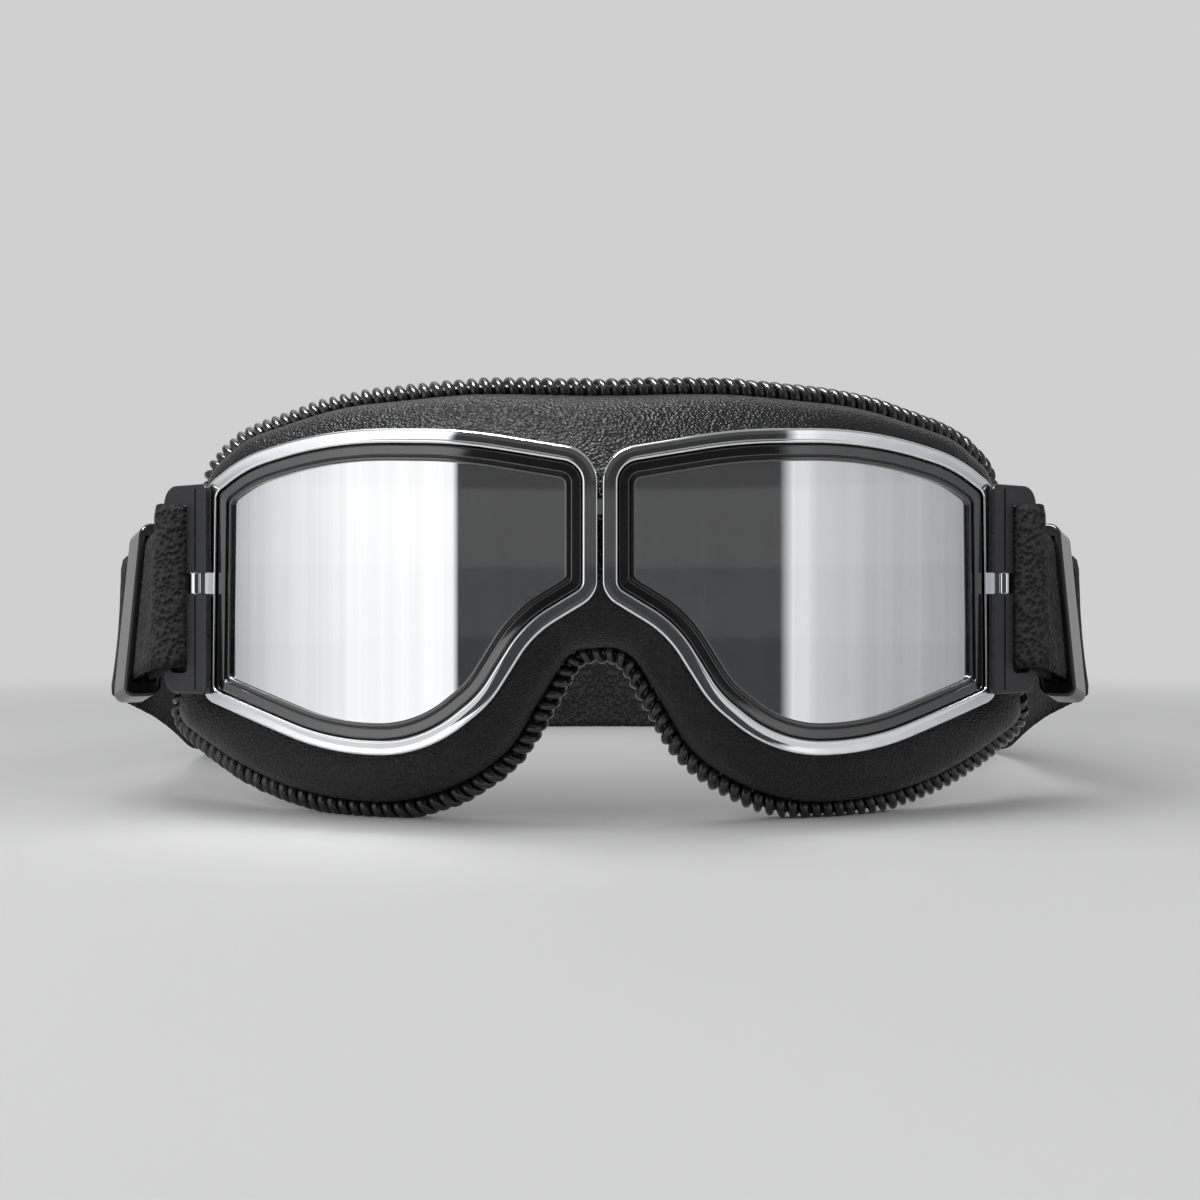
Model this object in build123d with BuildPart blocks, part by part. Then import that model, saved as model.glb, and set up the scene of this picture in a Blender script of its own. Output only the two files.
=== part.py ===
"""Aviator flying goggles: two chrome rims with curved lenses on a padded mask,
hinged ear brackets, and an elastic strap with two sliders.

Millimetres. +Z is up, +Y runs from the nose back to the head, +X is the side
drawn on the right from the front. The origin is on the table, in the middle of
the goggles' width and depth. The right side is modelled and mirrored.
"""

import os
from math import atan2, cos, degrees, hypot, radians, sin, sqrt, tan

from build123d import *

os.makedirs("parts", exist_ok=True)

# Rims: one closed ring round each eye, curved about an upright axis
rim_width = 87.5
rim_height = 67.8
rim_base_height = 15.4
rim_gap = 1.0
rim_curve_radius = 170.0
nose_angle = 6.0
rim_face = 3.0
rim_depth = 7.0
rim_edge_round = 0.9
least_corner_round = 1.5
surface_tolerance = 0.015

# Corners of the rim's outline, from the nose over the brow and back below:
# shares of its width, of its height, and of its height for the corner's radius
rim_corner_shares = [
    (0.000, 0.909, 0.111),
    (0.314, 0.982, 1.770),
    (0.640, 1.000, 1.475),
    (0.880, 0.931, 0.516),
    (0.992, 0.844, 0.074),
    (1.000, 0.150, 0.052),
    (0.646, 0.000, 0.885),
    (0.403, 0.000, 0.442),
    (0.246, 0.164, 0.354),
    (0.146, 0.370, 0.324),
    (0.000, 0.484, 0.081),
]

# Lens, its gasket and the back frame that holds both in the rim
gasket_face = 3.5
gasket_recess = 0.8
gasket_lip = 1.3
gasket_step = 0.8
lens_thickness = 1.8
lens_recess = 2.4
lens_grip = 1.8
back_frame_face = 3.0
back_frame_web = 1.8
back_frame_wall = 1.5
back_frame_skirt = 8.0
back_frame_gap = 0.3

# Pad: a leather mask that flares from the rims back to a laced edge
pad_half_width = 102.0
pad_height = 91.0
pad_depth = 24.0
pad_curve_radius = 140.0
pad_crown_share = 0.18
pad_flange = 2.5
pad_seat_gap = 0.3
leather_thickness = 1.2
foam_thickness = 2.6
lining_thickness = 0.6
layer_gap = 0.1
lace_radius = 2.3
lace_gap = 0.2
rest_flat_depth = 0.5

# Corners of the laced edge, matched one by one with the rim's corners: shares
# of the pad's half width, of its height, and of its height for the radius
pad_corner_shares = [
    (-0.098, 0.991, 0.033),
    (0.256, 1.000, 1.650),
    (0.563, 0.979, 0.989),
    (0.803, 0.908, 0.220),
    (0.890, 0.834, 0.088),
    (0.996, 0.182, 0.055),
    (0.698, 0.000, 0.800),
    (0.292, 0.000, 0.200),
    (0.170, 0.145, 0.275),
    (0.051, 0.380, 0.071),
    (-0.098, 0.380, 0.033),
]

# Steps round half of each corner of the pad, and along the side that follows it
pad_corner_steps = [2, 1, 1, 1, 2, 2, 2, 2, 1, 3, 2]
pad_side_steps = [4, 3, 2, 2, 4, 2, 3, 2, 3, 2, 4]
pad_seam_side = 6

# Nose bridge: a spacer between the rims and a riveted strip behind them
spacer_height = 3.0
spacer_depth = 3.0
spacer_recess = 2.0
spacer_centre_height = 66.0
bridge_width = 15.0
bridge_height = 9.0
bridge_centre_height = 62.0
bridge_thickness = 1.0
bridge_round = 1.5
bridge_rivet_radius = 0.5
bridge_rivet_head_radius = 1.1
bridge_rivet_head = 0.5
bridge_rivet_grip = 2.5
bridge_rivet_spacing = 5.0

# Ear hinge: a chrome knuckle on the rim, and a pin through the bracket's barrels
barrel_radius = 1.3
pin_radius = 0.6
pin_running_gap = 0.05
hinge_side_gap = 0.35
hinge_setback = 0.6
knuckle_height = 4.4
knuckle_centre_height = 51.1
knuckle_end_gap = 0.15
knuckle_arm = 2.0
notch_gap = 0.35
barrel_length = 9.0
pin_stand_out = 0.5

# Ear bracket: a plate with a tall slot, which lies over the rim's outer side
bracket_angle = 38.0
bracket_length = 10.1
bracket_overlap = 5.2
bracket_thickness = 1.6
bracket_height = 46.3
bracket_centre_height = 49.8
bracket_rim_gap = 0.35
bracket_round = 4.2
bracket_inner_round = 1.6
slot_height = 37.4
slot_width = 6.0
slot_round = 1.2
bar_width = 2.6
bracket_edge_round = 0.5

# Strap: flat elastic, doubled back through the slot, in one loop behind the head
strap_width = 33.6
strap_thickness = 1.6
strap_angle = 58.0
strap_run = 36.0
strap_end_setback = 2.0
strap_wrap_radius = 2.7
strap_wrap_reach = 5.2
strap_wrap_side = 3.1
strap_taper_round = 12.0
strap_taper_run = 9.0
strap_layer_gap = 1.8
strap_slope_share = 0.26
strap_lift = 31.9
strap_landing_radius = 150.0
strap_joint_gap = 0.2
strap_turn_radius = 45.0
strap_side_run = 48.5

# Slider on the doubled strap
slider_length = 10.0
slider_wall = 1.3
slider_side = 3.2
slider_gap = 0.35
slider_end_gap = 0.8
slider_rest_run = 22.0
slider_round = 2.6
slider_edge_round = 0.7

overrun = 5.0


def corner_points(shares, width, height, left, base):
    """Corners and radii of an outline from its shares."""
    corners = [(left + a * width, base + h * height) for a, h, _ in shares]
    return corners, [r * height for _, _, r in shares]


def unit(from_point, to_point):
    """Unit vector between two points of the front view."""
    dx = to_point[0] - from_point[0]
    dz = to_point[1] - from_point[1]
    length = hypot(dx, dz)
    return dx / length, dz / length


def turn_at(corners, index):
    """Directions in and out of a corner, and its right-hand turn in radians."""
    before = unit(corners[index - 1], corners[index])
    after = unit(corners[index], corners[(index + 1) % len(corners)])
    turn = atan2(before[1] * after[0] - before[0] * after[1], before[0] * after[0] + before[1] * after[1])
    return before, after, turn


def inset_outline(corners, radii, inset):
    """The same outline with every side moved inward, walls kept parallel."""
    moved = []
    rounds = []
    for index, corner in enumerate(corners):
        before, after, turn = turn_at(corners, index)
        inward = (before[1] + after[1], -before[0] - after[0])
        scale = inset / (1 + cos(turn))
        moved.append((corner[0] + inward[0] * scale, corner[1] + inward[1] * scale))
        rounds.append(max(radii[index] - inset, least_corner_round) if turn > 0 else radii[index] + inset)
    return moved, rounds


def corner_lengths(corners, radii):
    """Length of half of each corner's arc, and of the straight side that follows it."""
    turns = [turn_at(corners, index)[2] for index in range(len(corners))]
    halves = [radius * abs(turn) / 2 for radius, turn in zip(radii, turns)]
    reaches = [radius * tan(abs(turn) / 2) for radius, turn in zip(radii, turns)]
    sides = []
    for index, corner in enumerate(corners):
        following = (index + 1) % len(corners)
        gap = hypot(corners[following][0] - corner[0], corners[following][1] - corner[1])
        sides.append(gap - reaches[index] - reaches[following])
    return halves, sides


def arc_point(corners, radii, index, share):
    """A point on the arc that rounds a corner, at a share of the arc."""
    before, _, turn = turn_at(corners, index)
    radius = radii[index]
    reach = radius * tan(abs(turn) / 2)
    start = (corners[index][0] - before[0] * reach, corners[index][1] - before[1] * reach)
    side = 1 if turn > 0 else -1
    centre = (start[0] + side * before[1] * radius, start[1] - side * before[0] * radius)
    angle = -turn * share
    spoke = (start[0] - centre[0], start[1] - centre[1])
    return (
        centre[0] + spoke[0] * cos(angle) - spoke[1] * sin(angle),
        centre[1] + spoke[0] * sin(angle) + spoke[1] * cos(angle),
    )


def point_along(corners, radii, index, share):
    """A point at a share of the way from one corner's middle to the next one's."""
    halves, sides = corner_lengths(corners, radii)
    following = (index + 1) % len(corners)
    distance = share * (halves[index] + sides[index] + halves[following])
    if distance < halves[index]:
        return arc_point(corners, radii, index, (1 + distance / halves[index]) / 2)
    distance -= halves[index]
    if distance > sides[index]:
        return arc_point(corners, radii, following, (distance - sides[index]) / halves[following] / 2)
    start = arc_point(corners, radii, index, 1)
    end = arc_point(corners, radii, following, 0)
    part_way = distance / sides[index]
    return start[0] + (end[0] - start[0]) * part_way, start[1] + (end[1] - start[1]) * part_way


def side_shares(outlines, index):
    """Shares of one side at which the spokes stand, the same on both outlines."""
    following = (index + 1) % len(pad_corner_steps)
    first_share = 0
    last_share = 0
    for corners, radii in outlines:
        halves, sides = corner_lengths(corners, radii)
        whole = halves[index] + sides[index] + halves[following]
        first_share += halves[index] / whole / len(outlines)
        last_share += halves[following] / whole / len(outlines)
    shares = [first_share * step / pad_corner_steps[index] for step in range(pad_corner_steps[index])]
    straight = (1 - first_share - last_share) / pad_side_steps[index]
    shares += [first_share + straight * step for step in range(pad_side_steps[index])]
    turn_in = last_share / pad_corner_steps[following]
    shares += [1 - last_share + turn_in * step for step in range(pad_corner_steps[following])]
    return shares


# The strap's plan: a slanted run from each bracket, a turn, a side run and one big arc
rim_axis_x = rim_gap / 2 - rim_curve_radius * sin(radians(nose_angle))
rim_axis_depth = rim_curve_radius * cos(radians(nose_angle))


def front_depth(x, inward=0.0):
    """Depth behind the nose of the frame's front surface, or of one parallel to it."""
    return rim_axis_depth - sqrt((rim_curve_radius - inward) ** 2 - (x - rim_axis_x) ** 2)


def rear_depth(x):
    """Depth behind the nose of the laced edge."""
    return pad_depth + pad_curve_radius - sqrt(pad_curve_radius**2 - x**2)


rim_side_x = rim_gap / 2 + rim_width
hinge_x = rim_side_x + hinge_side_gap + barrel_radius
hinge_depth = front_depth(rim_side_x) + hinge_setback
bar_run = bracket_length - bar_width / 2
along_plate = (cos(radians(bracket_angle)), sin(radians(bracket_angle)))
out_of_plate = (sin(radians(bracket_angle)), -cos(radians(bracket_angle)))
rim_corner_out = (rim_side_x - hinge_x) * out_of_plate[0] - hinge_setback * out_of_plate[1]
plate_back = rim_corner_out + bracket_rim_gap
plate_middle = plate_back + bracket_thickness / 2
bar_x = hinge_x + bar_run * along_plate[0] + plate_middle * out_of_plate[0]
bar_depth = hinge_depth + bar_run * along_plate[1] + plate_middle * out_of_plate[1]
along_strap = (cos(radians(strap_angle)), sin(radians(strap_angle)))
run_end_x = bar_x + strap_run * along_strap[0]
run_end_depth = bar_depth + strap_run * along_strap[1]
strap_layer_offset = (strap_layer_gap + strap_thickness) / 2
strap_end_x = run_end_x + strap_layer_offset * along_strap[1]
strap_end_depth = run_end_depth - strap_layer_offset * along_strap[0]
turn_x = strap_end_x - strap_turn_radius * along_strap[1]
turn_depth = strap_end_depth + strap_turn_radius * along_strap[0]
loop_radius = turn_x + strap_turn_radius
loop_depth = turn_depth + strap_side_run
overall_depth = loop_depth + loop_radius + strap_thickness / 2
nose_y = -overall_depth / 2
tall = rim_base_height + rim_height + pad_height

front_plane = Plane(origin=(0, nose_y - overrun, 0), x_dir=(1, 0, 0), z_dir=(0, -1, 0))
frame_reach = front_depth(rim_side_x) + rim_depth + back_frame_skirt + 2 * overrun

rim_left = rim_gap / 2
rim_corners, rim_radii = corner_points(
    rim_corner_shares, rim_width, rim_height, rim_left, rim_base_height
)


def rim_outline(inset):
    """A face of the rim's outline, moved inward."""
    corners, radii = inset_outline(rim_corners, rim_radii, inset)
    with BuildSketch(front_plane) as face:
        with BuildLine():
            FilletPolyline(*corners, radius=radii, close=True)
        make_face()
    return face.sketch


def curved_slab(front, back):
    """Everything between two depths behind the frame's front surface."""
    with BuildPart() as slab:
        with BuildSketch(Plane.XY):
            with Locations((rim_axis_x, nose_y + rim_axis_depth)):
                Circle(rim_curve_radius - front)
                Circle(rim_curve_radius - back, mode=Mode.SUBTRACT)
        extrude(amount=tall)
    return slab.part


def curved_ring(outer_inset, inner_inset, front, back):
    """A ring between two insets of the rim's outline and between two depths."""
    with BuildPart() as ring:
        with BuildSketch(front_plane):
            add(rim_outline(outer_inset))
            add(rim_outline(inner_inset), mode=Mode.SUBTRACT)
        extrude(amount=-frame_reach)
        add(curved_slab(front, back), mode=Mode.INTERSECT)
    return ring.part


def curved_plate(inset, front, back):
    """A full plate inside an inset of the rim's outline."""
    with BuildPart() as plate:
        with BuildSketch(front_plane):
            add(rim_outline(inset))
        extrude(amount=-frame_reach)
        add(curved_slab(front, back), mode=Mode.INTERSECT)
    return plate.part


def axis_distance(shape):
    """Distance of an edge's middle from the upright axis that the frame is curved about."""
    middle = shape.position_at(0.5)
    return hypot(middle.X - rim_axis_x, middle.Y - nose_y - rim_axis_depth)


def edges_at_depth(part, depth):
    """Edges that lie on the surface at this depth behind the frame's front."""
    radius = rim_curve_radius - depth
    return [e for e in part.edges() if abs(axis_distance(e) - radius) < surface_tolerance]


def save(name, piece):
    """Label one piece and write it."""
    piece.label = name
    export_step(piece, f"parts/{name}.step")


def save_pair(name, piece):
    """Write a right-hand piece, and its mirror image on the left."""
    save(f"right_{name}", piece)
    save(f"left_{name}", mirror(piece, about=Plane.YZ))


# Chrome rim
with BuildPart() as rim:
    add(curved_ring(0, rim_face, 0, rim_depth))
    fillet(edges_at_depth(rim.part, 0), radius=rim_edge_round)
save_pair("rim", rim.part)

# Lens, held by its edge in the gasket
lens_inset = rim_face + gasket_face - lens_grip
with BuildPart() as lens:
    add(curved_plate(lens_inset, lens_recess, lens_recess + lens_thickness))
save_pair("lens", lens.part)

# Gasket round the lens, with a lip stepped down to it
with BuildPart() as lens_gasket:
    add(curved_ring(rim_face, rim_face + gasket_face - gasket_lip, gasket_recess, rim_depth))
    add(curved_ring(rim_face, rim_face + gasket_face, gasket_recess + gasket_step, rim_depth))
    add(lens.part, mode=Mode.SUBTRACT)
save_pair("lens_gasket", lens_gasket.part)

# Back frame: closes the rim behind the gasket, with a skirt that the pad is drawn over
skirt_inset = pad_flange + back_frame_gap
skirt_back = rim_depth + back_frame_skirt
with BuildPart() as back_frame:
    add(curved_ring(skirt_inset, rim_face + back_frame_face, rim_depth, rim_depth + back_frame_web))
    add(curved_ring(skirt_inset, skirt_inset + back_frame_wall, rim_depth, skirt_back))

# Pad sections: spokes from the rim's outline to the laced edge
pad_corners, pad_radii = corner_points(
    pad_corner_shares, pad_half_width, pad_height, 0, lace_radius - rest_flat_depth
)
rim_points = []
lace_points = []
spoke_counts = []
for side_index in range(len(pad_corners)):
    shares = side_shares([(rim_corners, rim_radii), (pad_corners, pad_radii)], side_index)
    rim_points += [point_along(rim_corners, rim_radii, side_index, share) for share in shares]
    lace_points += [point_along(pad_corners, pad_radii, side_index, share) for share in shares]
    spoke_counts.append(len(shares))
pad_front = rim_depth + pad_seat_gap


def spoke_at(side_index):
    """Number of the spoke in the middle of a side."""
    return sum(spoke_counts[:side_index]) + pad_corner_steps[side_index] + pad_side_steps[side_index] // 2


def seam_depth(index):
    """Depth behind the nose where the pad ends, just clear of the laced edge."""
    before = lace_points[index - 1]
    after = lace_points[(index + 1) % len(lace_points)]
    run = hypot(after[0] - before[0], after[1] - before[1])
    slant = hypot(run, rear_depth(after[0]) - rear_depth(before[0])) / run
    return rear_depth(lace_points[index][0]) - (lace_radius + lace_gap) * slant


def pad_section(index, outer, inner):
    """One layer of the pad on the upright plane through a rim point and a lace point."""
    near = rim_points[index]
    far = lace_points[index]
    direction = unit(near, far)
    length = hypot(far[0] - near[0], far[1] - near[1])
    plane = Plane(
        origin=(near[0], nose_y, near[1]),
        x_dir=(direction[0], 0, direction[1]),
        z_dir=(-direction[1], 0, direction[0]),
    )
    start = (0, front_depth(near[0], pad_front))
    end = (length, seam_depth(index))
    flange_depth = front_depth(near[0] - pad_flange * direction[0], pad_front)
    chord = hypot(end[0] - start[0], end[1] - start[1])
    crown = pad_crown_share * chord
    radius = (chord**2 / 4 + crown**2) / (2 * crown)
    middle = ((start[0] + end[0]) / 2, (start[1] + end[1]) / 2)
    out = ((end[1] - start[1]) / chord, (start[0] - end[0]) / chord)
    centre = (middle[0] - out[0] * (radius - crown), middle[1] - out[1] * (radius - crown))
    top = (centre[0] + out[0] * radius, centre[1] + out[1] * radius)

    def inward(point, thickness):
        share = (radius - thickness) / radius
        return centre[0] + (point[0] - centre[0]) * share, centre[1] + (point[1] - centre[1]) * share

    with BuildSketch(plane) as section:
        with BuildLine():
            Line((-pad_flange, flange_depth + outer), inward(start, outer))
            ThreePointArc(inward(start, outer), inward(top, outer), inward(end, outer))
            Line(inward(end, outer), inward(end, inner))
            ThreePointArc(inward(end, inner), inward(top, inner), inward(start, inner))
            Line(inward(start, inner), (-pad_flange, flange_depth + inner))
            Line((-pad_flange, flange_depth + inner), (-pad_flange, flange_depth + outer))
        make_face()
    return section.sketch


def ruled_solid(sections):
    """A ruled loft through sections, with its faces turned outward."""
    solid = loft(sections, ruled=True, mode=Mode.PRIVATE)
    if solid.volume > 0:
        return solid
    return loft(sections[::-1], ruled=True, mode=Mode.PRIVATE)


def pad_layer(outer, inner):
    """One layer of the whole mask, between two depths below its outer surface."""
    sections = [pad_section(index, outer, inner) for index in range(len(rim_points))]
    low = spoke_at(pad_seam_side)
    web = spoke_at(len(pad_corners) - 1)
    brow = sections[web:] + sections[: low + 1]
    cheek = sections[low : web + 1]
    with BuildPart() as layer:
        add(ruled_solid(brow))
        add(ruled_solid(cheek))
        split(bisect_by=Plane.YZ, keep=Keep.TOP)
        mirror(about=Plane.YZ)
    return layer.part


foam_top = leather_thickness + layer_gap
lining_top = foam_top + foam_thickness + layer_gap
with BuildPart() as face_pad_skin:
    add(pad_layer(0, leather_thickness))
save("face_pad_skin", face_pad_skin.part)

with BuildPart() as face_pad_foam:
    add(pad_layer(foam_top, foam_top + foam_thickness))
save("face_pad_foam", face_pad_foam.part)

with BuildPart() as face_pad_lining:
    add(pad_layer(lining_top, lining_top + lining_thickness))
save("face_pad_lining", face_pad_lining.part)

# Laced edge: a round roll along the pad's rear, cut flat where it stands
lace_path = [Vector(x, nose_y + rear_depth(x), z) for x, z in lace_points]
lace_path = lace_path[: len(lace_path) - spoke_counts[-1] + 1]
rolls = []
with BuildPart() as edge_lacing:
    for index, point in enumerate(lace_path):
        before = lace_path[max(index - 1, 0)]
        after = lace_path[min(index + 1, len(lace_path) - 1)]
        across = Plane(origin=point, x_dir=(0, 1, 0), z_dir=after - before)
        with BuildSketch(across, mode=Mode.PRIVATE) as roll:
            Circle(lace_radius)
        rolls.append(roll.sketch)
    add(ruled_solid(rolls))
    split(bisect_by=Plane.XY, keep=Keep.TOP)
    split(bisect_by=Plane.YZ, keep=Keep.TOP)
    mirror(about=Plane.YZ)
save("edge_lacing", edge_lacing.part)

# Nose bridge: the spacer, then the bent strip and its rivets behind the back frames
with BuildPart() as bridge_spacer:
    with BuildSketch(Plane.XY.offset(spacer_centre_height - spacer_height / 2)):
        with Locations((0, nose_y + spacer_recess + spacer_depth / 2)):
            Rectangle(rim_gap, spacer_depth)
    extrude(amount=spacer_height)
save("bridge_spacer", bridge_spacer.part)

rivet_x = rim_gap / 2 + skirt_inset + back_frame_wall / 2
rivet_heights = [bridge_centre_height + side * bridge_rivet_spacing / 2 for side in (1, -1)]


def rivet_rods(radius, front, back):
    """Round rods along Y at the rivet places, between two depths."""
    with BuildPart() as rods:
        with BuildSketch(Plane(origin=(0, nose_y + front, 0), x_dir=(1, 0, 0), z_dir=(0, -1, 0))):
            with Locations(*[(rivet_x, height) for height in rivet_heights]):
                Circle(radius)
        extrude(amount=front - back)
    return rods.part


rivet_tip = front_depth(rivet_x, skirt_back) - bridge_rivet_grip
strip_back = skirt_back + bridge_thickness
with BuildPart() as bridge_strip:
    with BuildSketch(front_plane):
        with Locations((0, bridge_centre_height)):
            RectangleRounded(bridge_width, bridge_height, bridge_round)
    extrude(amount=-frame_reach)
    add(curved_slab(skirt_back, strip_back), mode=Mode.INTERSECT)
    add(rivet_rods(bridge_rivet_radius, rivet_tip, frame_reach), mode=Mode.SUBTRACT)
    split(bisect_by=Plane.YZ, keep=Keep.TOP)
    mirror(about=Plane.YZ)
save("bridge_strip", bridge_strip.part)

head_back = strip_back + bridge_rivet_head
with BuildPart() as rivet_shanks:
    add(rivet_rods(bridge_rivet_radius, rivet_tip, frame_reach))
    add(curved_slab(rim_depth, head_back), mode=Mode.INTERSECT)

with BuildPart() as bridge_rivets:
    add(rivet_rods(bridge_rivet_head_radius, rivet_tip, frame_reach))
    add(curved_slab(strip_back, head_back), mode=Mode.INTERSECT)
    add(rivet_shanks.part)
    mirror(about=Plane.YZ)
save("bridge_rivets", bridge_rivets.part)

with BuildPart() as riveted_frame:
    add(back_frame.part)
    add(rivet_rods(bridge_rivet_radius, rivet_tip, frame_reach), mode=Mode.SUBTRACT)
save_pair("back_frame", riveted_frame.part)

# Ear hinge: the pin, and the knuckle seated on the rim's outer wall
hinge_plane = Plane(origin=(hinge_x, nose_y + hinge_depth, 0), x_dir=(*along_plate, 0), z_dir=(0, 0, 1))
knuckle_base = knuckle_centre_height - knuckle_height / 2
knuckle_top = knuckle_centre_height + knuckle_height / 2
notch_height = knuckle_height + 2 * knuckle_end_gap
pin_base = knuckle_base - knuckle_end_gap - barrel_length - pin_stand_out
pin_top = knuckle_top + knuckle_end_gap + barrel_length + pin_stand_out
with BuildPart() as hinge_pin:
    with BuildSketch(hinge_plane.offset(pin_base)):
        Circle(pin_radius)
    extrude(amount=pin_top - pin_base)
save_pair("hinge_pin", hinge_pin.part)

arm_length = hinge_x - rim_side_x + rim_face / 2
with BuildPart() as hinge_knuckle:
    with BuildSketch(hinge_plane.offset(knuckle_base)):
        Circle(barrel_radius)
    extrude(amount=knuckle_height)
    with BuildSketch(Plane.XY.offset(knuckle_base)):
        with Locations((hinge_x - arm_length / 2, nose_y + hinge_depth + barrel_radius - knuckle_arm / 2)):
            Rectangle(arm_length, knuckle_arm)
    extrude(amount=knuckle_height)
    add(rim.part, mode=Mode.SUBTRACT)
    add(hinge_pin.part, mode=Mode.SUBTRACT)
save_pair("hinge_knuckle", hinge_knuckle.part)

# Ear bracket: the slotted plate and its two barrels
plate_plane = Plane(
    origin=(hinge_x + plate_back * out_of_plate[0], nose_y + hinge_depth + plate_back * out_of_plate[1], 0),
    x_dir=(*along_plate, 0),
    z_dir=(*out_of_plate, 0),
)
plate_base = bracket_centre_height - bracket_height / 2
plate_top = bracket_centre_height + bracket_height / 2
with BuildPart() as ear_bracket:
    with BuildSketch(plate_plane):
        with BuildLine():
            FilletPolyline(
                (-bracket_overlap, plate_base),
                (bracket_length, plate_base),
                (bracket_length, plate_top),
                (-bracket_overlap, plate_top),
                radius=[bracket_inner_round, bracket_round, bracket_round, bracket_inner_round],
                close=True,
            )
        make_face()
    extrude(amount=bracket_thickness)
    fillet(ear_bracket.edges(), radius=bracket_edge_round)
    for base in (pin_base + pin_stand_out, knuckle_top + knuckle_end_gap):
        with BuildSketch(hinge_plane.offset(base)):
            Circle(barrel_radius)
        extrude(amount=barrel_length)
    with BuildSketch(plate_plane):
        with Locations((bracket_length - bar_width - slot_width / 2, bracket_centre_height)):
            RectangleRounded(slot_width, slot_height, slot_round)
        with Locations(((barrel_radius + notch_gap - bracket_overlap) / 2, knuckle_centre_height)):
            Rectangle(barrel_radius + notch_gap + bracket_overlap, notch_height)
    extrude(amount=bracket_thickness, mode=Mode.SUBTRACT)
    with BuildSketch(hinge_plane.offset(pin_base)):
        Circle(pin_radius + pin_running_gap)
    extrude(amount=pin_top - pin_base, mode=Mode.SUBTRACT)
save_pair("ear_bracket", ear_bracket.part)

# Strap: its side view slopes down from the ears and lies level at the back
strap_fall = (strap_lift + strap_width / 2 * (sqrt(1 + strap_slope_share**2) - 1)) / strap_slope_share
landing = (nose_y + bar_depth + strap_fall, strap_width / 2)
slope_start_y = nose_y + bar_depth - strap_width
slope_start = (slope_start_y, strap_width / 2 + (landing[0] - slope_start_y) * strap_slope_share)


def strap_height(y):
    """Height of the strap's middle where it slopes down straight."""
    return strap_width / 2 + (landing[0] - y) * strap_slope_share


with BuildPart() as strap_side:
    with BuildSketch(Plane.YZ):
        with BuildLine():
            FilletPolyline(
                slope_start, landing, (-nose_y + strap_width, strap_width / 2), radius=strap_landing_radius
            )
        trace(line_width=strap_width)
    extrude(amount=2 * loop_radius)

strap_plane = Plane(
    origin=(bar_x, nose_y + bar_depth, 0), x_dir=(*along_strap, 0), z_dir=(0, 0, 1)
)
with BuildPart() as strap_end:
    with BuildSketch(strap_plane):
        with BuildLine():
            FilletPolyline(
                (strap_run - strap_end_setback, strap_layer_offset),
                (strap_taper_run, strap_layer_offset),
                (-strap_wrap_reach, strap_wrap_side),
                (-strap_wrap_reach, -strap_wrap_side),
                (strap_taper_run, -strap_layer_offset),
                (strap_run, -strap_layer_offset),
                radius=[strap_taper_round, strap_wrap_radius, strap_wrap_radius, strap_taper_round],
            )
        trace(line_width=strap_thickness)
    extrude(amount=tall)
    add(strap_side.part, mode=Mode.INTERSECT)
save_pair("strap_end", strap_end.part)

start_angle = strap_angle - 90 + degrees(strap_joint_gap / strap_turn_radius)
with BuildPart() as strap_half:
    with BuildSketch(Plane.XY):
        with BuildLine():
            CenterArc((turn_x, nose_y + turn_depth), strap_turn_radius, start_angle, -start_angle)
            Line((loop_radius, nose_y + turn_depth), (loop_radius, nose_y + loop_depth))
            CenterArc((0, nose_y + loop_depth), loop_radius, 0, 90)
        trace(line_width=strap_thickness)
    extrude(amount=tall)
    add(strap_side.part, mode=Mode.INTERSECT)
save_pair("strap_half", strap_half.part)

# Slider: a frame round both layers of the strap, with a bar between them
slope_run = strap_slope_share * along_strap[1]
slide_axis = Vector(along_strap[0], along_strap[1], -slope_run).normalized()
slider_y = nose_y + bar_depth + slider_rest_run * along_strap[1]
slider_origin = Vector(bar_x + slider_rest_run * along_strap[0], slider_y, strap_height(slider_y))
slider_plane = Plane(origin=slider_origin, x_dir=(-along_strap[1], along_strap[0], 0), z_dir=slide_axis)
window_inner = strap_layer_gap / 2 - slider_gap
window_outer = strap_layer_gap / 2 + strap_thickness + slider_gap
window_height = strap_width + 2 * slider_end_gap
with BuildPart() as strap_slider:
    with BuildSketch(slider_plane.offset(-slider_length / 2)):
        RectangleRounded(2 * (window_outer + slider_wall), window_height + 2 * slider_side, slider_round)
    extrude(amount=slider_length)
    faces = strap_slider.faces().sort_by(Axis(slider_origin, slide_axis))
    fillet(faces[0].edges() + faces[-1].edges(), radius=slider_edge_round)
    with BuildSketch(slider_plane.offset(-slider_length / 2)):
        for side in (1, -1):
            with Locations((side * (window_inner + window_outer) / 2, 0)):
                Rectangle(window_outer - window_inner, window_height)
    extrude(amount=slider_length, mode=Mode.SUBTRACT)
save_pair("strap_slider", strap_slider.part)
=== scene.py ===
"""Aviator goggles, dressed over the CAD frame. Metres, +Z up, front toward -Y."""

import random
from math import asin, atan2, cos, degrees, dist, hypot, pi, radians, sin, sqrt, tan

import bmesh
import bpy
import numpy as np
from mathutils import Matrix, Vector, noise


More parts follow.
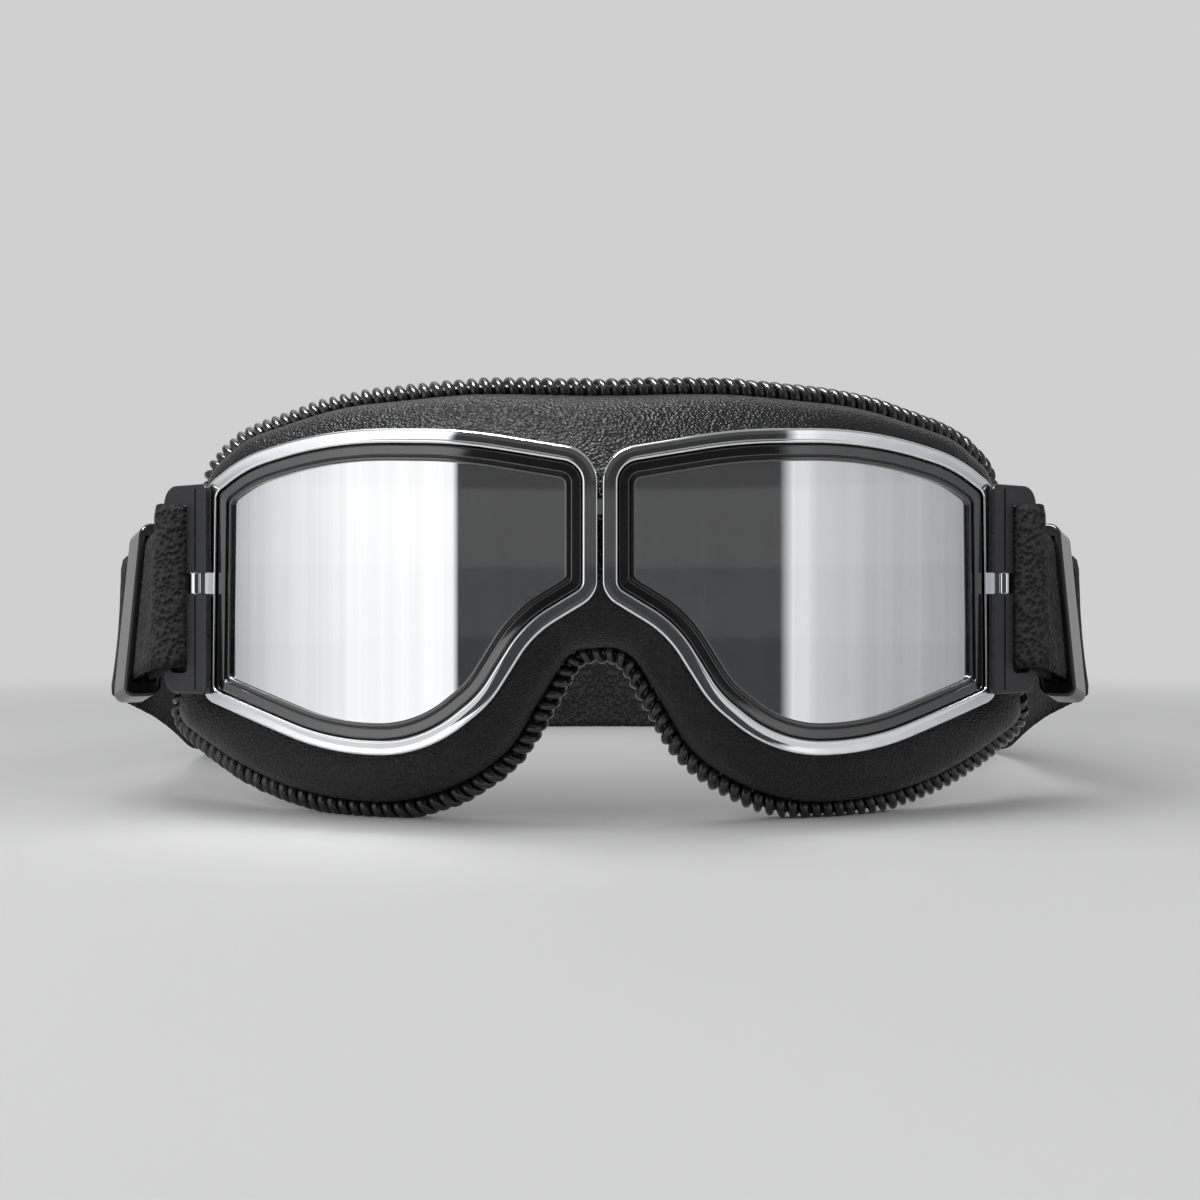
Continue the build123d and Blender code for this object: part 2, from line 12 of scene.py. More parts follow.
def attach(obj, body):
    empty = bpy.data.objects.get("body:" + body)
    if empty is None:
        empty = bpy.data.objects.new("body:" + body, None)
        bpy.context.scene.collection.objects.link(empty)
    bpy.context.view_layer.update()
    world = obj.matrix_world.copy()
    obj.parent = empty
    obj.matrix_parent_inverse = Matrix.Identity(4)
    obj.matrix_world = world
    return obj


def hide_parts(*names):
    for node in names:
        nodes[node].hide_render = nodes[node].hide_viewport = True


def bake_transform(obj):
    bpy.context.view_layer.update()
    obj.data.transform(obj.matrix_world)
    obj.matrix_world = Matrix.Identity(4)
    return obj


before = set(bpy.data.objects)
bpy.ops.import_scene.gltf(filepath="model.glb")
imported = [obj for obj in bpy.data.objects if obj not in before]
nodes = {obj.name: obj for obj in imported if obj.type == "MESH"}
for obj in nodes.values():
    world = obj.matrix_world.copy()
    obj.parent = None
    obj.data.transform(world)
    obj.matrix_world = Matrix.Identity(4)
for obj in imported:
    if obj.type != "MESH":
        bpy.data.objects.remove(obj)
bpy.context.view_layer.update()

LACE_SEED = 7
rng = random.Random(LACE_SEED)

MM = 0.001
SIDES = ("right", "left")

# The part's own dimensions, in millimetres
RIM_WIDTH, RIM_HEIGHT, RIM_BASE = 87.5, 67.8, 15.4
RIM_GAP, RIM_RADIUS, NOSE_ANGLE = 1.0, 170.0, 6.0
RIM_DEPTH = 7.0
LENS_RECESS, LENS_THICKNESS, LENS_INSET = 2.4, 1.8, 4.7
LEAST_ROUND = 1.5
PAD_HALF, PAD_HEIGHT, PAD_DEPTH, PAD_RADIUS = 102.0, 91.0, 24.0, 140.0
PAD_CROWN, PAD_FLANGE, PAD_SEAT = 0.18, 2.5, 0.3
LEATHER, FOAM, LINING, LAYER_GAP = 1.2, 2.6, 0.6, 0.1
LACE_RADIUS, LACE_GAP, REST_CUT = 2.3, 0.2, 0.5

# Corners of the outlines: share of the width, share of the height, and radius as a share of the height
RIM_CORNERS = [
    (0.000, 0.909, 0.111),
    (0.314, 0.982, 1.770),
    (0.640, 1.000, 1.475),
    (0.880, 0.931, 0.516),
    (0.992, 0.844, 0.074),
    (1.000, 0.150, 0.052),
    (0.646, 0.000, 0.885),
    (0.403, 0.000, 0.442),
    (0.246, 0.164, 0.354),
    (0.146, 0.370, 0.324),
    (0.000, 0.484, 0.081),
]
PAD_CORNERS = [
    (-0.098, 0.991, 0.033),
    (0.256, 1.000, 1.650),
    (0.563, 0.979, 0.989),
    (0.803, 0.908, 0.220),
    (0.890, 0.834, 0.088),
    (0.996, 0.182, 0.055),
    (0.698, 0.000, 0.930),
    (0.324, 0.000, 0.460),
    (0.172, 0.143, 0.275),
    (0.051, 0.380, 0.071),
    (-0.098, 0.380, 0.033),
]
HALF_CORNER_STEPS = [2, 1, 1, 1, 2, 2, 2, 2, 1, 3, 2]
SIDE_STEPS = [4, 3, 2, 2, 4, 2, 3, 2, 3, 2, 4]
STEP_SCALE = 4

# The strap, which is doubled through the bracket's slot and lies in one loop behind
STRAP_WIDTH, STRAP_THICKNESS, STRAP_ANGLE, STRAP_RUN = 33.6, 1.6, 58.0, 36.0
STRAP_SLOPE, STRAP_LIFT, STRAP_LANDING = 0.26, 31.9, 150.0
STRAP_OFFSET, WRAP_REACH, WRAP_SIDE, WRAP_RADIUS = 1.7, 5.2, 3.1, 2.7
TURN_RADIUS, SIDE_RUN = 45.0, 48.5
TAPER_RUN, TAPER_ROUND, END_SETBACK, JOINT_GAP = 9.0, 12.0, 2.0, 0.2

# How the strap hangs: its lean, its flare in the slot, the wrap's bulge and the loop's tuck
STRAP_LEAN, STRAP_FLARE, WRAP_BULGE, STRAP_TUCK = 0.15, 0.055, 1.5, 6.5
LEAN_FROM, LEAN_OVER, LEAN_DROP, LEAN_FADE_FROM, LEAN_FADE_OVER = -4, 9, 3, 33, 13
TUCK_FROM, TUCK_OVER, UNTUCK_FROM, UNTUCK_OVER = 32, 32, 5, 90
FLARE_REACH, INNER_TIGHTER, OUTER_WIDER, TAPER_LEAD = 12, 0.3, 1.0, 1

AXIS_X = RIM_GAP / 2 - RIM_RADIUS * sin(radians(NOSE_ANGLE))
AXIS_DEPTH = RIM_RADIUS * cos(radians(NOSE_ANGLE))


def front_depth(x, inward=0.0):
    """Depth of the rims' curved face behind the nose."""
    return AXIS_DEPTH - sqrt((RIM_RADIUS - inward) ** 2 - (x - AXIS_X) ** 2)


def rear_depth(x):
    """Depth of the pad's rear edge behind the nose."""
    return PAD_DEPTH + PAD_RADIUS - sqrt(PAD_RADIUS**2 - x**2)


# The hinge and the bracket
HINGE_SIDE_GAP, BARREL_RADIUS, HINGE_SETBACK = 0.35, 1.3, 0.6
BRACKET_ANGLE, BRACKET_GAP, BRACKET_THICKNESS, BAR_REACH = 38.0, 0.35, 1.6, 8.8
HINGE_X = RIM_GAP / 2 + RIM_WIDTH + HINGE_SIDE_GAP + BARREL_RADIUS
HINGE_DEPTH = front_depth(RIM_GAP / 2 + RIM_WIDTH) + HINGE_SETBACK
HINGE_REACH = HINGE_SIDE_GAP + BARREL_RADIUS
BRACKET = radians(BRACKET_ANGLE)
PLATE_SETBACK = HINGE_SETBACK * cos(BRACKET) - HINGE_REACH * sin(BRACKET)
PLATE_MIDDLE = PLATE_SETBACK + BRACKET_GAP + BRACKET_THICKNESS / 2

# The strap's plan, from the bracket's bar to the loop behind the head
BAR_X = HINGE_X + BAR_REACH * cos(BRACKET) + PLATE_MIDDLE * sin(BRACKET)
BAR_DEPTH = HINGE_DEPTH + BAR_REACH * sin(BRACKET) - PLATE_MIDDLE * cos(BRACKET)
ALONG = (cos(radians(STRAP_ANGLE)), sin(radians(STRAP_ANGLE)))
STRAP_END_X = BAR_X + STRAP_RUN * ALONG[0] + STRAP_OFFSET * ALONG[1]
STRAP_END_DEPTH = BAR_DEPTH + STRAP_RUN * ALONG[1] - STRAP_OFFSET * ALONG[0]
TURN_X = STRAP_END_X - TURN_RADIUS * ALONG[1]
TURN_DEPTH = STRAP_END_DEPTH + TURN_RADIUS * ALONG[0]
LOOP_RADIUS = TURN_X + TURN_RADIUS
LOOP_DEPTH = TURN_DEPTH + SIDE_RUN
NOSE_Y = -(LOOP_DEPTH + LOOP_RADIUS + STRAP_THICKNESS / 2) / 2


# Outlines, as corners with radii in the front view
def unit(start, end):
    length = dist(start, end)
    return (end[0] - start[0]) / length, (end[1] - start[1]) / length


def between(start, end, share):
    return start[0] + (end[0] - start[0]) * share, start[1] + (end[1] - start[1]) * share


def turn_at(pts, i):
    """Directions before and after a corner, and the angle between them."""
    before = unit(pts[i - 1], pts[i])
    after = unit(pts[i], pts[(i + 1) % len(pts)])
    across = before[1] * after[0] - before[0] * after[1]
    return before, after, atan2(across, before[0] * after[0] + before[1] * after[1])


def outline_corners(shares, width, height, left, base):
    return [(left + a * width, base + h * height) for a, h, _ in shares], [r * height for _, _, r in shares]


def inset_corners(pts, radii, inset):
    moved, rounds = [], []
    for i, (x, z) in enumerate(pts):
        before, after, turn = turn_at(pts, i)
        shift = inset / (1 + cos(turn))
        moved.append((x + (before[1] + after[1]) * shift, z - (before[0] + after[0]) * shift))
        rounds.append(max(radii[i] - inset, LEAST_ROUND) if turn > 0 else radii[i] + inset)
    return moved, rounds


def arc_point(pts, radii, i, share):
    """A point at a share of a rounded corner's arc."""
    before, _, turn = turn_at(pts, i)
    reach = radii[i] * tan(abs(turn) / 2)
    start = (pts[i][0] - before[0] * reach, pts[i][1] - before[1] * reach)
    side = radii[i] if turn > 0 else -radii[i]
    x, z = start[0] + side * before[1], start[1] - side * before[0]
    angle = -turn * share
    dx, dz = start[0] - x, start[1] - z
    return x + dx * cos(angle) - dz * sin(angle), z + dx * sin(angle) + dz * cos(angle)


def walk_outline(pts, radii, arc_steps=10, side_length=2.0, counts=None):
    """Dense points round a rounded outline. counts fixes the steps of each side."""
    out, made = [], []
    for i in range(len(pts)):
        for k in range(arc_steps):
            out.append(arc_point(pts, radii, i, k / arc_steps))
        start = arc_point(pts, radii, i, 1)
        end = arc_point(pts, radii, (i + 1) % len(pts), 0)
        steps = counts[i] if counts else max(1, round(dist(start, end) / side_length))
        made.append(steps)
        out += [between(start, end, k / steps) for k in range(steps)]
    return out, made


RIM_PTS, RIM_RADII = outline_corners(RIM_CORNERS, RIM_WIDTH, RIM_HEIGHT, RIM_GAP / 2, RIM_BASE)
PAD_PTS, PAD_RADII = outline_corners(PAD_CORNERS, PAD_HALF, PAD_HEIGHT, 0, LACE_RADIUS - REST_CUT)
_, RIM_COUNTS = walk_outline(RIM_PTS, RIM_RADII)


# Meshes
def add_object(name, data):
    obj = bpy.data.objects.new(name, data)
    bpy.context.scene.collection.objects.link(obj)
    return obj


def make_object(name, verts, faces, uvs=None, rounded=True):
    """A mesh object from points in millimetres."""
    mesh = bpy.data.meshes.new(name)
    mesh.from_pydata([tuple(c * MM for c in v) for v in verts], [], faces)
    mesh.validate()
    if uvs is not None:
        layer = mesh.uv_layers.new(name="along")
        for loop in mesh.loops:
            layer.data[loop.index].uv = uvs[loop.vertex_index]
    for poly in mesh.polygons:
        poly.use_smooth = rounded
    return add_object(name, mesh)


def grid_faces(rows, cols, close_rows=False, close_cols=False, flip=False):
    faces = []
    for i in range(rows if close_rows else rows - 1):
        for j in range(cols if close_cols else cols - 1):
            a, b = i * cols + j, i * cols + (j + 1) % cols
            c, d = ((i + 1) % rows) * cols + (j + 1) % cols, ((i + 1) % rows) * cols + j
            faces.append((a, d, c, b) if flip else (a, b, c, d))
    return faces


def mirror_pair(name, verts, faces, uvs=None):
    """The right piece, and its mirror image on the left."""
    right = make_object("right_" + name, verts, faces, uvs)
    mirrored = [(-x, y, z) for x, y, z in verts]
    left = make_object("left_" + name, mirrored, [f[::-1] for f in faces], uvs)
    return right, left


def fix_normals(obj):
    bm = bmesh.new()
    bm.from_mesh(obj.data)
    bmesh.ops.recalc_face_normals(bm, faces=bm.faces[:])
    bm.to_mesh(obj.data)
    bm.free()


def finish_piece(obj, body, slot, material, *replaced):
    obj.data.materials.clear()
    obj.data.materials.append(material)
    if replaced:
        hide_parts(*replaced)
    if body:
        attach(obj, body)


# Materials
class Nodes:
    """Short helpers for building one node material."""

    def __init__(self, name):
        self.material = bpy.data.materials.new(name)
        self.material.use_nodes = True
        self.tree = self.material.node_tree
        self.tree.nodes.clear()
        self.out = self.add("ShaderNodeOutputMaterial")
        self.bsdf = self.add("ShaderNodeBsdfPrincipled")
        self.link(self.bsdf.outputs[0], self.out.inputs["Surface"])
        self.coord = self.add("ShaderNodeTexCoord")

    def add(self, kind):
        return self.tree.nodes.new(kind)

    def link(self, source, target):
        self.tree.links.new(source, target)

    def feed(self, socket, source):
        self.link(source, self.bsdf.inputs[socket])

    def set(self, **values):
        for key, value in values.items():
            self.bsdf.inputs[key.replace("_", " ")].default_value = value

    def mapping(self, scale, source="Object"):
        node = self.add("ShaderNodeMapping")
        node.inputs["Scale"].default_value = scale if isinstance(scale, tuple) else (scale,) * 3
        self.link(self.coord.outputs[source], node.inputs["Vector"])
        return node.outputs[0]

    def noise(self, vector, scale=1.0, detail=4.0, rough=0.55, distortion=0.0):
        node = self.add("ShaderNodeTexNoise")
        node.inputs["Scale"].default_value = scale
        node.inputs["Detail"].default_value = detail
        node.inputs["Roughness"].default_value = rough
        node.inputs["Distortion"].default_value = distortion
        self.link(vector, node.inputs["Vector"])
        return node.outputs["Fac"]

    def voronoi(self, vector, scale=1.0, smoothness=None):
        node = self.add("ShaderNodeTexVoronoi")
        node.inputs["Scale"].default_value = scale
        if smoothness is not None:
            node.feature = "SMOOTH_F1"
            node.inputs["Smoothness"].default_value = smoothness
        self.link(vector, node.inputs["Vector"])
        return node.outputs["Distance"]

    def ramp(self, factor, stops):
        node = self.add("ShaderNodeValToRGB")
        elements = node.color_ramp.elements
        while len(elements) < len(stops):
            elements.new(0.5)
        for element, (position, colour) in zip(elements, stops):
            element.position = position
            element.color = (*colour, 1)
        self.link(factor, node.inputs["Fac"])
        return node.outputs["Color"]

    def math(self, operation, first, second, clamp=False):
        node = self.add("ShaderNodeMath")
        node.operation = operation
        node.use_clamp = clamp
        for socket, value in zip(node.inputs, (first, second)):
            if isinstance(value, (int, float)):
                socket.default_value = value
            else:
                self.link(value, socket)
        return node.outputs[0]

    def vector_math(self, operation, *values):
        node = self.add("ShaderNodeVectorMath")
        node.operation = operation
        for socket, value in zip(node.inputs, values):
            if isinstance(value, tuple):
                socket.default_value = value
            else:
                self.link(value, socket)
        return node.outputs

    def bump(self, height, strength, distance, normal=None):
        node = self.add("ShaderNodeBump")
        node.inputs["Strength"].default_value = strength
        node.inputs["Distance"].default_value = distance
        self.link(height, node.inputs["Height"])
        if normal is not None:
            self.link(normal, node.inputs["Normal"])
        return node.outputs[0]

    def grey(self, factor, low, high, low_at=0.3, high_at=0.7):
        return self.ramp(factor, [(low_at, (low,) * 3), (high_at, (high,) * 3)])


def leather_material(name, dark, light, rough, grain, cell, spec, coat):
    """Leather with a cellular grain, pores and soft folds."""
    mat = Nodes(name)
    point = mat.mapping(1.0)
    wobble = mat.noise(point, scale=90, detail=3)
    mat.feed("Base Color", mat.ramp(wobble, [(0.35, dark), (0.68, light)]))
    drift = mat.math("MULTIPLY", mat.noise(point, scale=260, detail=3, rough=0.5, distortion=0.6), 0.4)
    cells = mat.voronoi(mat.mapping((1.0, 1.0, 1.45)), scale=cell, smoothness=0.35)
    pores = mat.noise(point, scale=3200, detail=3, rough=0.6)
    folds = mat.noise(point, scale=160, detail=4, rough=0.6, distortion=0.6)
    height = mat.math("ADD", cells, mat.math("MULTIPLY", pores, 0.3))
    height = mat.math("ADD", height, drift)
    fine = mat.bump(height, strength=grain, distance=0.0005)
    mat.feed("Normal", mat.bump(folds, strength=0.3, distance=0.0006, normal=fine))
    polish = mat.math("ADD", mat.math("MULTIPLY", wobble, 0.5), mat.math("MULTIPLY", cells, 0.5))
    mat.feed("Roughness", mat.grey(polish, *rough))
    mat.set(Specular_IOR_Level=spec, Coat_Weight=coat, Coat_Roughness=0.22)
    return mat.material


def chrome_material():
    mat = Nodes("chrome_polished")
    cloud = mat.noise(mat.mapping(1.0), scale=60, detail=3)
    scratches = mat.noise(mat.mapping((900, 900, 60)), detail=3)
    mat.feed("Base Color", mat.ramp(cloud, [(0.3, (0.86, 0.865, 0.88)), (0.7, (0.93, 0.935, 0.945))]))
    mat.feed("Roughness", mat.grey(scratches, 0.035, 0.075))
    mat.set(Metallic=1.0)
    return mat.material


def steel_material():
    mat = Nodes("satin_steel")
    brushed = mat.noise(mat.mapping((400, 400, 4000)), detail=4)
    mat.feed("Base Color", mat.grey(brushed, 0.42, 0.58))
    mat.feed("Roughness", mat.grey(brushed, 0.24, 0.4))
    mat.feed("Normal", mat.bump(brushed, strength=0.2, distance=0.00005))
    mat.set(Metallic=1.0)
    return mat.material


def lens_material():
    mat = Nodes("mirror_smoke_lens")
    point = mat.mapping(1.0)
    film = mat.noise(point, scale=14, detail=2)
    dust = mat.noise(point, scale=1500, detail=2)
    mat.feed("Base Color", mat.ramp(film, [(0.35, (0.80, 0.805, 0.815)), (0.65, (0.86, 0.865, 0.875))]))
    mat.feed("Roughness", mat.grey(dust, 0.012, 0.03))
    mat.set(Metallic=0.86, Transmission_Weight=1.0, IOR=1.5)
    return mat.material


def plastic_material(name, level, rough, grain=0.0, coat=0.0, spec=0.5):
    mat = Nodes(name)
    point = mat.mapping(1.0)
    cloud = mat.noise(point, scale=120, detail=3)
    mat.feed("Base Color", mat.grey(cloud, level * 0.8, level * 1.25))
    mat.feed("Roughness", mat.grey(mat.noise(point, scale=700, detail=4), rough * 0.8, rough * 1.25))
    if grain:
        pores = mat.noise(point, scale=2200, detail=3)
        mat.feed("Normal", mat.bump(pores, strength=grain, distance=0.00008))
    mat.set(Specular_IOR_Level=spec, Coat_Weight=coat, Coat_Roughness=0.08)
    return mat.material


def painted_metal_material():
    """Black lacquer, rubbed a little paler in places."""
    mat = Nodes("black_lacquer")
    point = mat.mapping(1.0)
    flake = mat.voronoi(point, scale=900)
    wear = mat.noise(point, scale=420, detail=5, rough=0.7)
    mat.feed("Base Color", mat.ramp(wear, [(0.62, (0.018, 0.018, 0.02)), (0.76, (0.04, 0.04, 0.042))]))
    mat.feed("Roughness", mat.grey(wear, 0.22, 0.42))
    mat.feed("Normal", mat.bump(flake, strength=0.08, distance=0.00006))
    mat.set(Specular_IOR_Level=0.45, Coat_Weight=0.1, Coat_Roughness=0.25)
    return mat.material


def crepe_material():
    """Elastic crepe: matt crinkled ridges with small hollows between them, whose darkness is painted shade.
    """
    mat = Nodes("crepe_elastic")
    warp = mat.noise(mat.mapping((260, 260, 1), "UV"), detail=3)
    pulled = mat.vector_math("MULTIPLY_ADD", warp, (0.6, 0.6, 0), mat.mapping((1080, 860, 1), "UV"))
    ridges = mat.ramp(mat.voronoi(pulled[0]), [(0.26, (0.0,) * 3), (0.7, (1.0,) * 3)])
    crinkle = mat.noise(mat.mapping((300, 900, 1), "UV"), detail=4, rough=0.6, distortion=0.8)
    fibre = mat.noise(mat.mapping((6000, 6000, 1), "UV"), detail=3)
    height = mat.math("ADD", mat.math("MULTIPLY", ridges, 0.8), mat.math("MULTIPLY", crinkle, 0.35))
    relief = mat.bump(height, strength=0.9, distance=0.0009)
    mat.feed("Normal", mat.bump(fibre, strength=0.4, distance=0.0001, normal=relief))
    # The colour follows the relief: where it sinks into the hollows and crinkles it is painted darker, as
    # painted shade.
    mat.feed("Base Color", mat.grey(height, 0.0008, 0.026, low_at=0.3, high_at=1.0))
    mat.feed("Roughness", mat.grey(fibre, 0.75, 0.95))
    mat.set(Sheen_Weight=0.04, Sheen_Roughness=0.5, Specular_IOR_Level=0.3)
    return mat.material


def fleece_material():
    mat = Nodes("lining_fleece")
    point = mat.mapping(1.0)
    tuft = mat.noise(point, scale=900, detail=5, rough=0.7)
    mat.feed("Base Color", mat.grey(tuft, 0.02, 0.055))
    mat.feed("Roughness", mat.grey(mat.noise(point, scale=300, detail=3), 0.8, 0.98))
    mat.feed("Normal", mat.bump(tuft, strength=0.8, distance=0.0004))
    mat.set(Sheen_Weight=0.4, Sheen_Roughness=0.5)
    return mat.material


def foam_material():
    mat = Nodes("open_cell_foam")
    point = mat.mapping(1.0)
    cells = mat.voronoi(point, scale=1200)
    # Darker at the cells' middles, where the bump sinks into pores: painted shade.
    mat.feed("Base Color", mat.ramp(cells, [(0.2, (0.03,) * 3), (0.7, (0.12,) * 3)]))
    mat.feed("Roughness", mat.grey(mat.noise(point, scale=500, detail=3), 0.85, 0.98))
    mat.feed("Normal", mat.bump(cells, strength=0.8, distance=0.0004))
    return mat.material


leather = leather_material(
    "mask_leather", (0.007, 0.0068, 0.0068), (0.012, 0.0116, 0.0116),
    rough=(0.26, 0.4), grain=0.8, cell=1450, spec=0.32, coat=0.0,
)
lace_leather = leather_material(
    "lace_leather", (0.007, 0.0068, 0.0068), (0.012, 0.0115, 0.0115),
    rough=(0.2, 0.3), grain=0.14, cell=1700, spec=0.5, coat=0.6,
)
chrome = chrome_material()
steel = steel_material()
mirror_glass = lens_material()
gasket_rubber = plastic_material("gasket_rubber", level=0.006, rough=0.09, grain=0.02, coat=1.0, spec=0.9)
frame_plastic = plastic_material("frame_plastic", level=0.012, rough=0.55, grain=0.3)
slider_gloss = plastic_material("slider_gloss", level=0.006, rough=0.14, grain=0.03, coat=0.3)
# Near black, for the strips that paint the hinge seams' shade.
seam_shadow = plastic_material("seam_shadow", level=0.0012, rough=0.9, spec=0.05)
lacquer = painted_metal_material()
crepe = crepe_material()
fleece = fleece_material()
foam = foam_material()


# Rims, gaskets and lenses
def swept_ring(name, node, profile, slot, material):
    """A ring whose section is given as (inset, depth) points, all the way round it."""
    loops = []
    for inset, depth in profile:
        pts, radii = inset_corners(RIM_PTS, RIM_RADII, inset)
        line, _ = walk_outline(pts, radii, counts=RIM_COUNTS)
        loops.append([(x, NOSE_Y + front_depth(x, depth), z) for x, z in line])
    verts = [p for loop in loops for p in loop]
    faces = grid_faces(len(loops), len(loops[0]), True, True, flip=True)
    for obj, side in zip(mirror_pair(name, verts, faces), SIDES):
        finish_piece(obj, "front", slot, material, f"{side}_{node}")


def section_arc(inset, depth, radius, start, end, steps=5):
    """Points of an arc of a ring's section, angles in degrees."""
    points = []
    for k in range(steps + 1):
        angle = radians(start + (end - start) * k / steps)
        points.append((inset + radius * cos(angle), depth + radius * sin(angle)))
    return points


rim_profile = (
    [(0.0, RIM_DEPTH - 0.15), (0.0, 4.0), (0.0, 0.9)]
    + section_arc(0.5, 0.5, 0.5, 180, 270)
    + [(0.6, 0.02), (2.4, 0.02)]
    + section_arc(2.5, 0.5, 0.5, 270, 360)
    + [(3.0, 0.9), (3.0, RIM_DEPTH - 0.15), (2.85, RIM_DEPTH), (0.15, RIM_DEPTH)]
)
swept_ring("rim_chrome", "rim", rim_profile, "chrome", chrome)

gasket_profile = (
    [(3.0, RIM_DEPTH), (3.0, 1.6), (3.15, 1.5), (3.3, 1.45)]
    + section_arc(3.6, 1.05, 0.28, 180, 270, 4)
    + [(3.75, 0.79), (5.0, 1.08)]
    + section_arc(5.05, 1.38, 0.3, 275, 360, 4)
    + [(5.36, 1.7), (5.48, 1.82)]
    + section_arc(5.82, 1.78, 0.26, 180, 270, 4)
    + section_arc(6.14, 1.88, 0.36, 270, 360, 5)
    + [(6.5, 2.42), (6.5, RIM_DEPTH)]
)
swept_ring("gasket", "lens_gasket", gasket_profile, "gasket", gasket_rubber)

LENS_PLAY, LENS_COLUMNS, LENS_ROWS = 0.1, 90, 40
COLUMN_CROWDING, END_SLIVER = 0.25, 0.02
LENS_ARC_STEPS, LENS_SIDE_LENGTH = 16, 1.0


def lens_mesh():
    """The curved lens as a grid whose columns crowd a little toward its ends: (vertices, faces, uvs)."""
    pts, radii = inset_corners(RIM_PTS, RIM_RADII, LENS_INSET + LENS_PLAY)
    line, _ = walk_outline(pts, radii, LENS_ARC_STEPS, LENS_SIDE_LENGTH)
    low, high = min(x for x, _ in line), max(x for x, _ in line)
    front, back, uvs = [], [], []
    for i in range(LENS_COLUMNS + 1):
        share = i / LENS_COLUMNS
        share = (1 - cos(pi * share)) / 2 * COLUMN_CROWDING + share * (1 - COLUMN_CROWDING)
        x = low + END_SLIVER + (high - low - 2 * END_SLIVER) * share
        hits = []
        for k, (ax, az) in enumerate(line):
            bx, bz = line[(k + 1) % len(line)]
            if (ax - x) * (bx - x) < 0:
                hits.append(az + (bz - az) * (x - ax) / (bx - ax))
        z0, z1 = min(hits), max(hits)
        for j in range(LENS_ROWS + 1):
            z = z0 + (z1 - z0) * j / LENS_ROWS
            front.append((x, NOSE_Y + front_depth(x, LENS_RECESS), z))
            back.append((x, NOSE_Y + front_depth(x, LENS_RECESS + LENS_THICKNESS), z))
            uvs.append((x * MM, z * MM))
    wide, tall = LENS_COLUMNS + 1, LENS_ROWS + 1
    faces = grid_faces(wide, tall, flip=True)
    faces += [tuple(k + wide * tall for k in f[::-1]) for f in faces]
    edge = list(range(tall)) + [i * tall + tall - 1 for i in range(1, wide)]
    edge += [(wide - 1) * tall + j for j in range(tall - 2, -1, -1)]
    edge += [i * tall for i in range(wide - 2, 0, -1)]
    for a, b in zip(edge, edge[1:] + edge[:1]):
        faces.append((a, b, b + wide * tall, a + wide * tall))
    return front + back, faces, uvs + uvs


verts, faces, uvs = lens_mesh()
for obj, side in zip(mirror_pair("lens_mirror", verts, faces, uvs), SIDES):
    finish_piece(obj, "front", "mirror_lens", mirror_glass, f"{side}_lens")


# The padded mask, as spokes from the rim's outline to the pad's
def corner_lengths(pts, radii):
    """Half the arc of each corner, and the straight length after it."""
    turns = [turn_at(pts, i)[2] for i in range(len(pts))]
    halves = [r * abs(t) / 2 for r, t in zip(radii, turns)]
    reach = [r * tan(abs(t) / 2) for r, t in zip(radii, turns)]
    sides = []
    for i in range(len(pts)):
        j = (i + 1) % len(pts)
        sides.append(dist(pts[i], pts[j]) - reach[i] - reach[j])
    return halves, sides


def point_along(pts, radii, i, share):
    """A point at a share of the way from the middle of one corner to the middle of the next."""
    halves, sides = corner_lengths(pts, radii)
    j = (i + 1) % len(pts)
    gone = share * (halves[i] + sides[i] + halves[j])
    if gone < halves[i]:
        return arc_point(pts, radii, i, (1 + gone / halves[i]) / 2)
    gone -= halves[i]
    if gone > sides[i]:
        return arc_point(pts, radii, j, (gone - sides[i]) / halves[j] / 2)
    return between(arc_point(pts, radii, i, 1), arc_point(pts, radii, j, 0), gone / sides[i])


def spoke_shares(i, scale):
    """Shares at which one side's spokes stand, closer together on the corners."""
    j = (i + 1) % len(HALF_CORNER_STEPS)
    first = last = 0
    for pts, radii in ((RIM_PTS, RIM_RADII), (PAD_PTS, PAD_RADII)):
        halves, sides = corner_lengths(pts, radii)
        whole = halves[i] + sides[i] + halves[j]
        first += halves[i] / whole / 2
        last += halves[j] / whole / 2
    opening, closing = HALF_CORNER_STEPS[i] * scale, HALF_CORNER_STEPS[j] * scale
    middle = SIDE_STEPS[i] * scale
    out = [first * k / opening for k in range(opening)]
    out += [first + (1 - first - last) * k / middle for k in range(middle)]
    out += [1 - last + last * k / closing for k in range(closing)]
    return out


near_points, far_points = [], []
for side_index in range(len(PAD_PTS)):
    for share in spoke_shares(side_index, STEP_SCALE):
        near_points.append(point_along(RIM_PTS, RIM_RADII, side_index, share))
        far_points.append(point_along(PAD_PTS, PAD_RADII, side_index, share))
SPOKES = len(near_points)
ARC_POINTS = 16
FLANGE_MIDDLE, PUFF_POWER = 0.4, 0.7
EDGE_TUCK, TUCK_POWER, LAP_IN, LAP_BACK = 1.9, 1.5, 0.6, 1.4


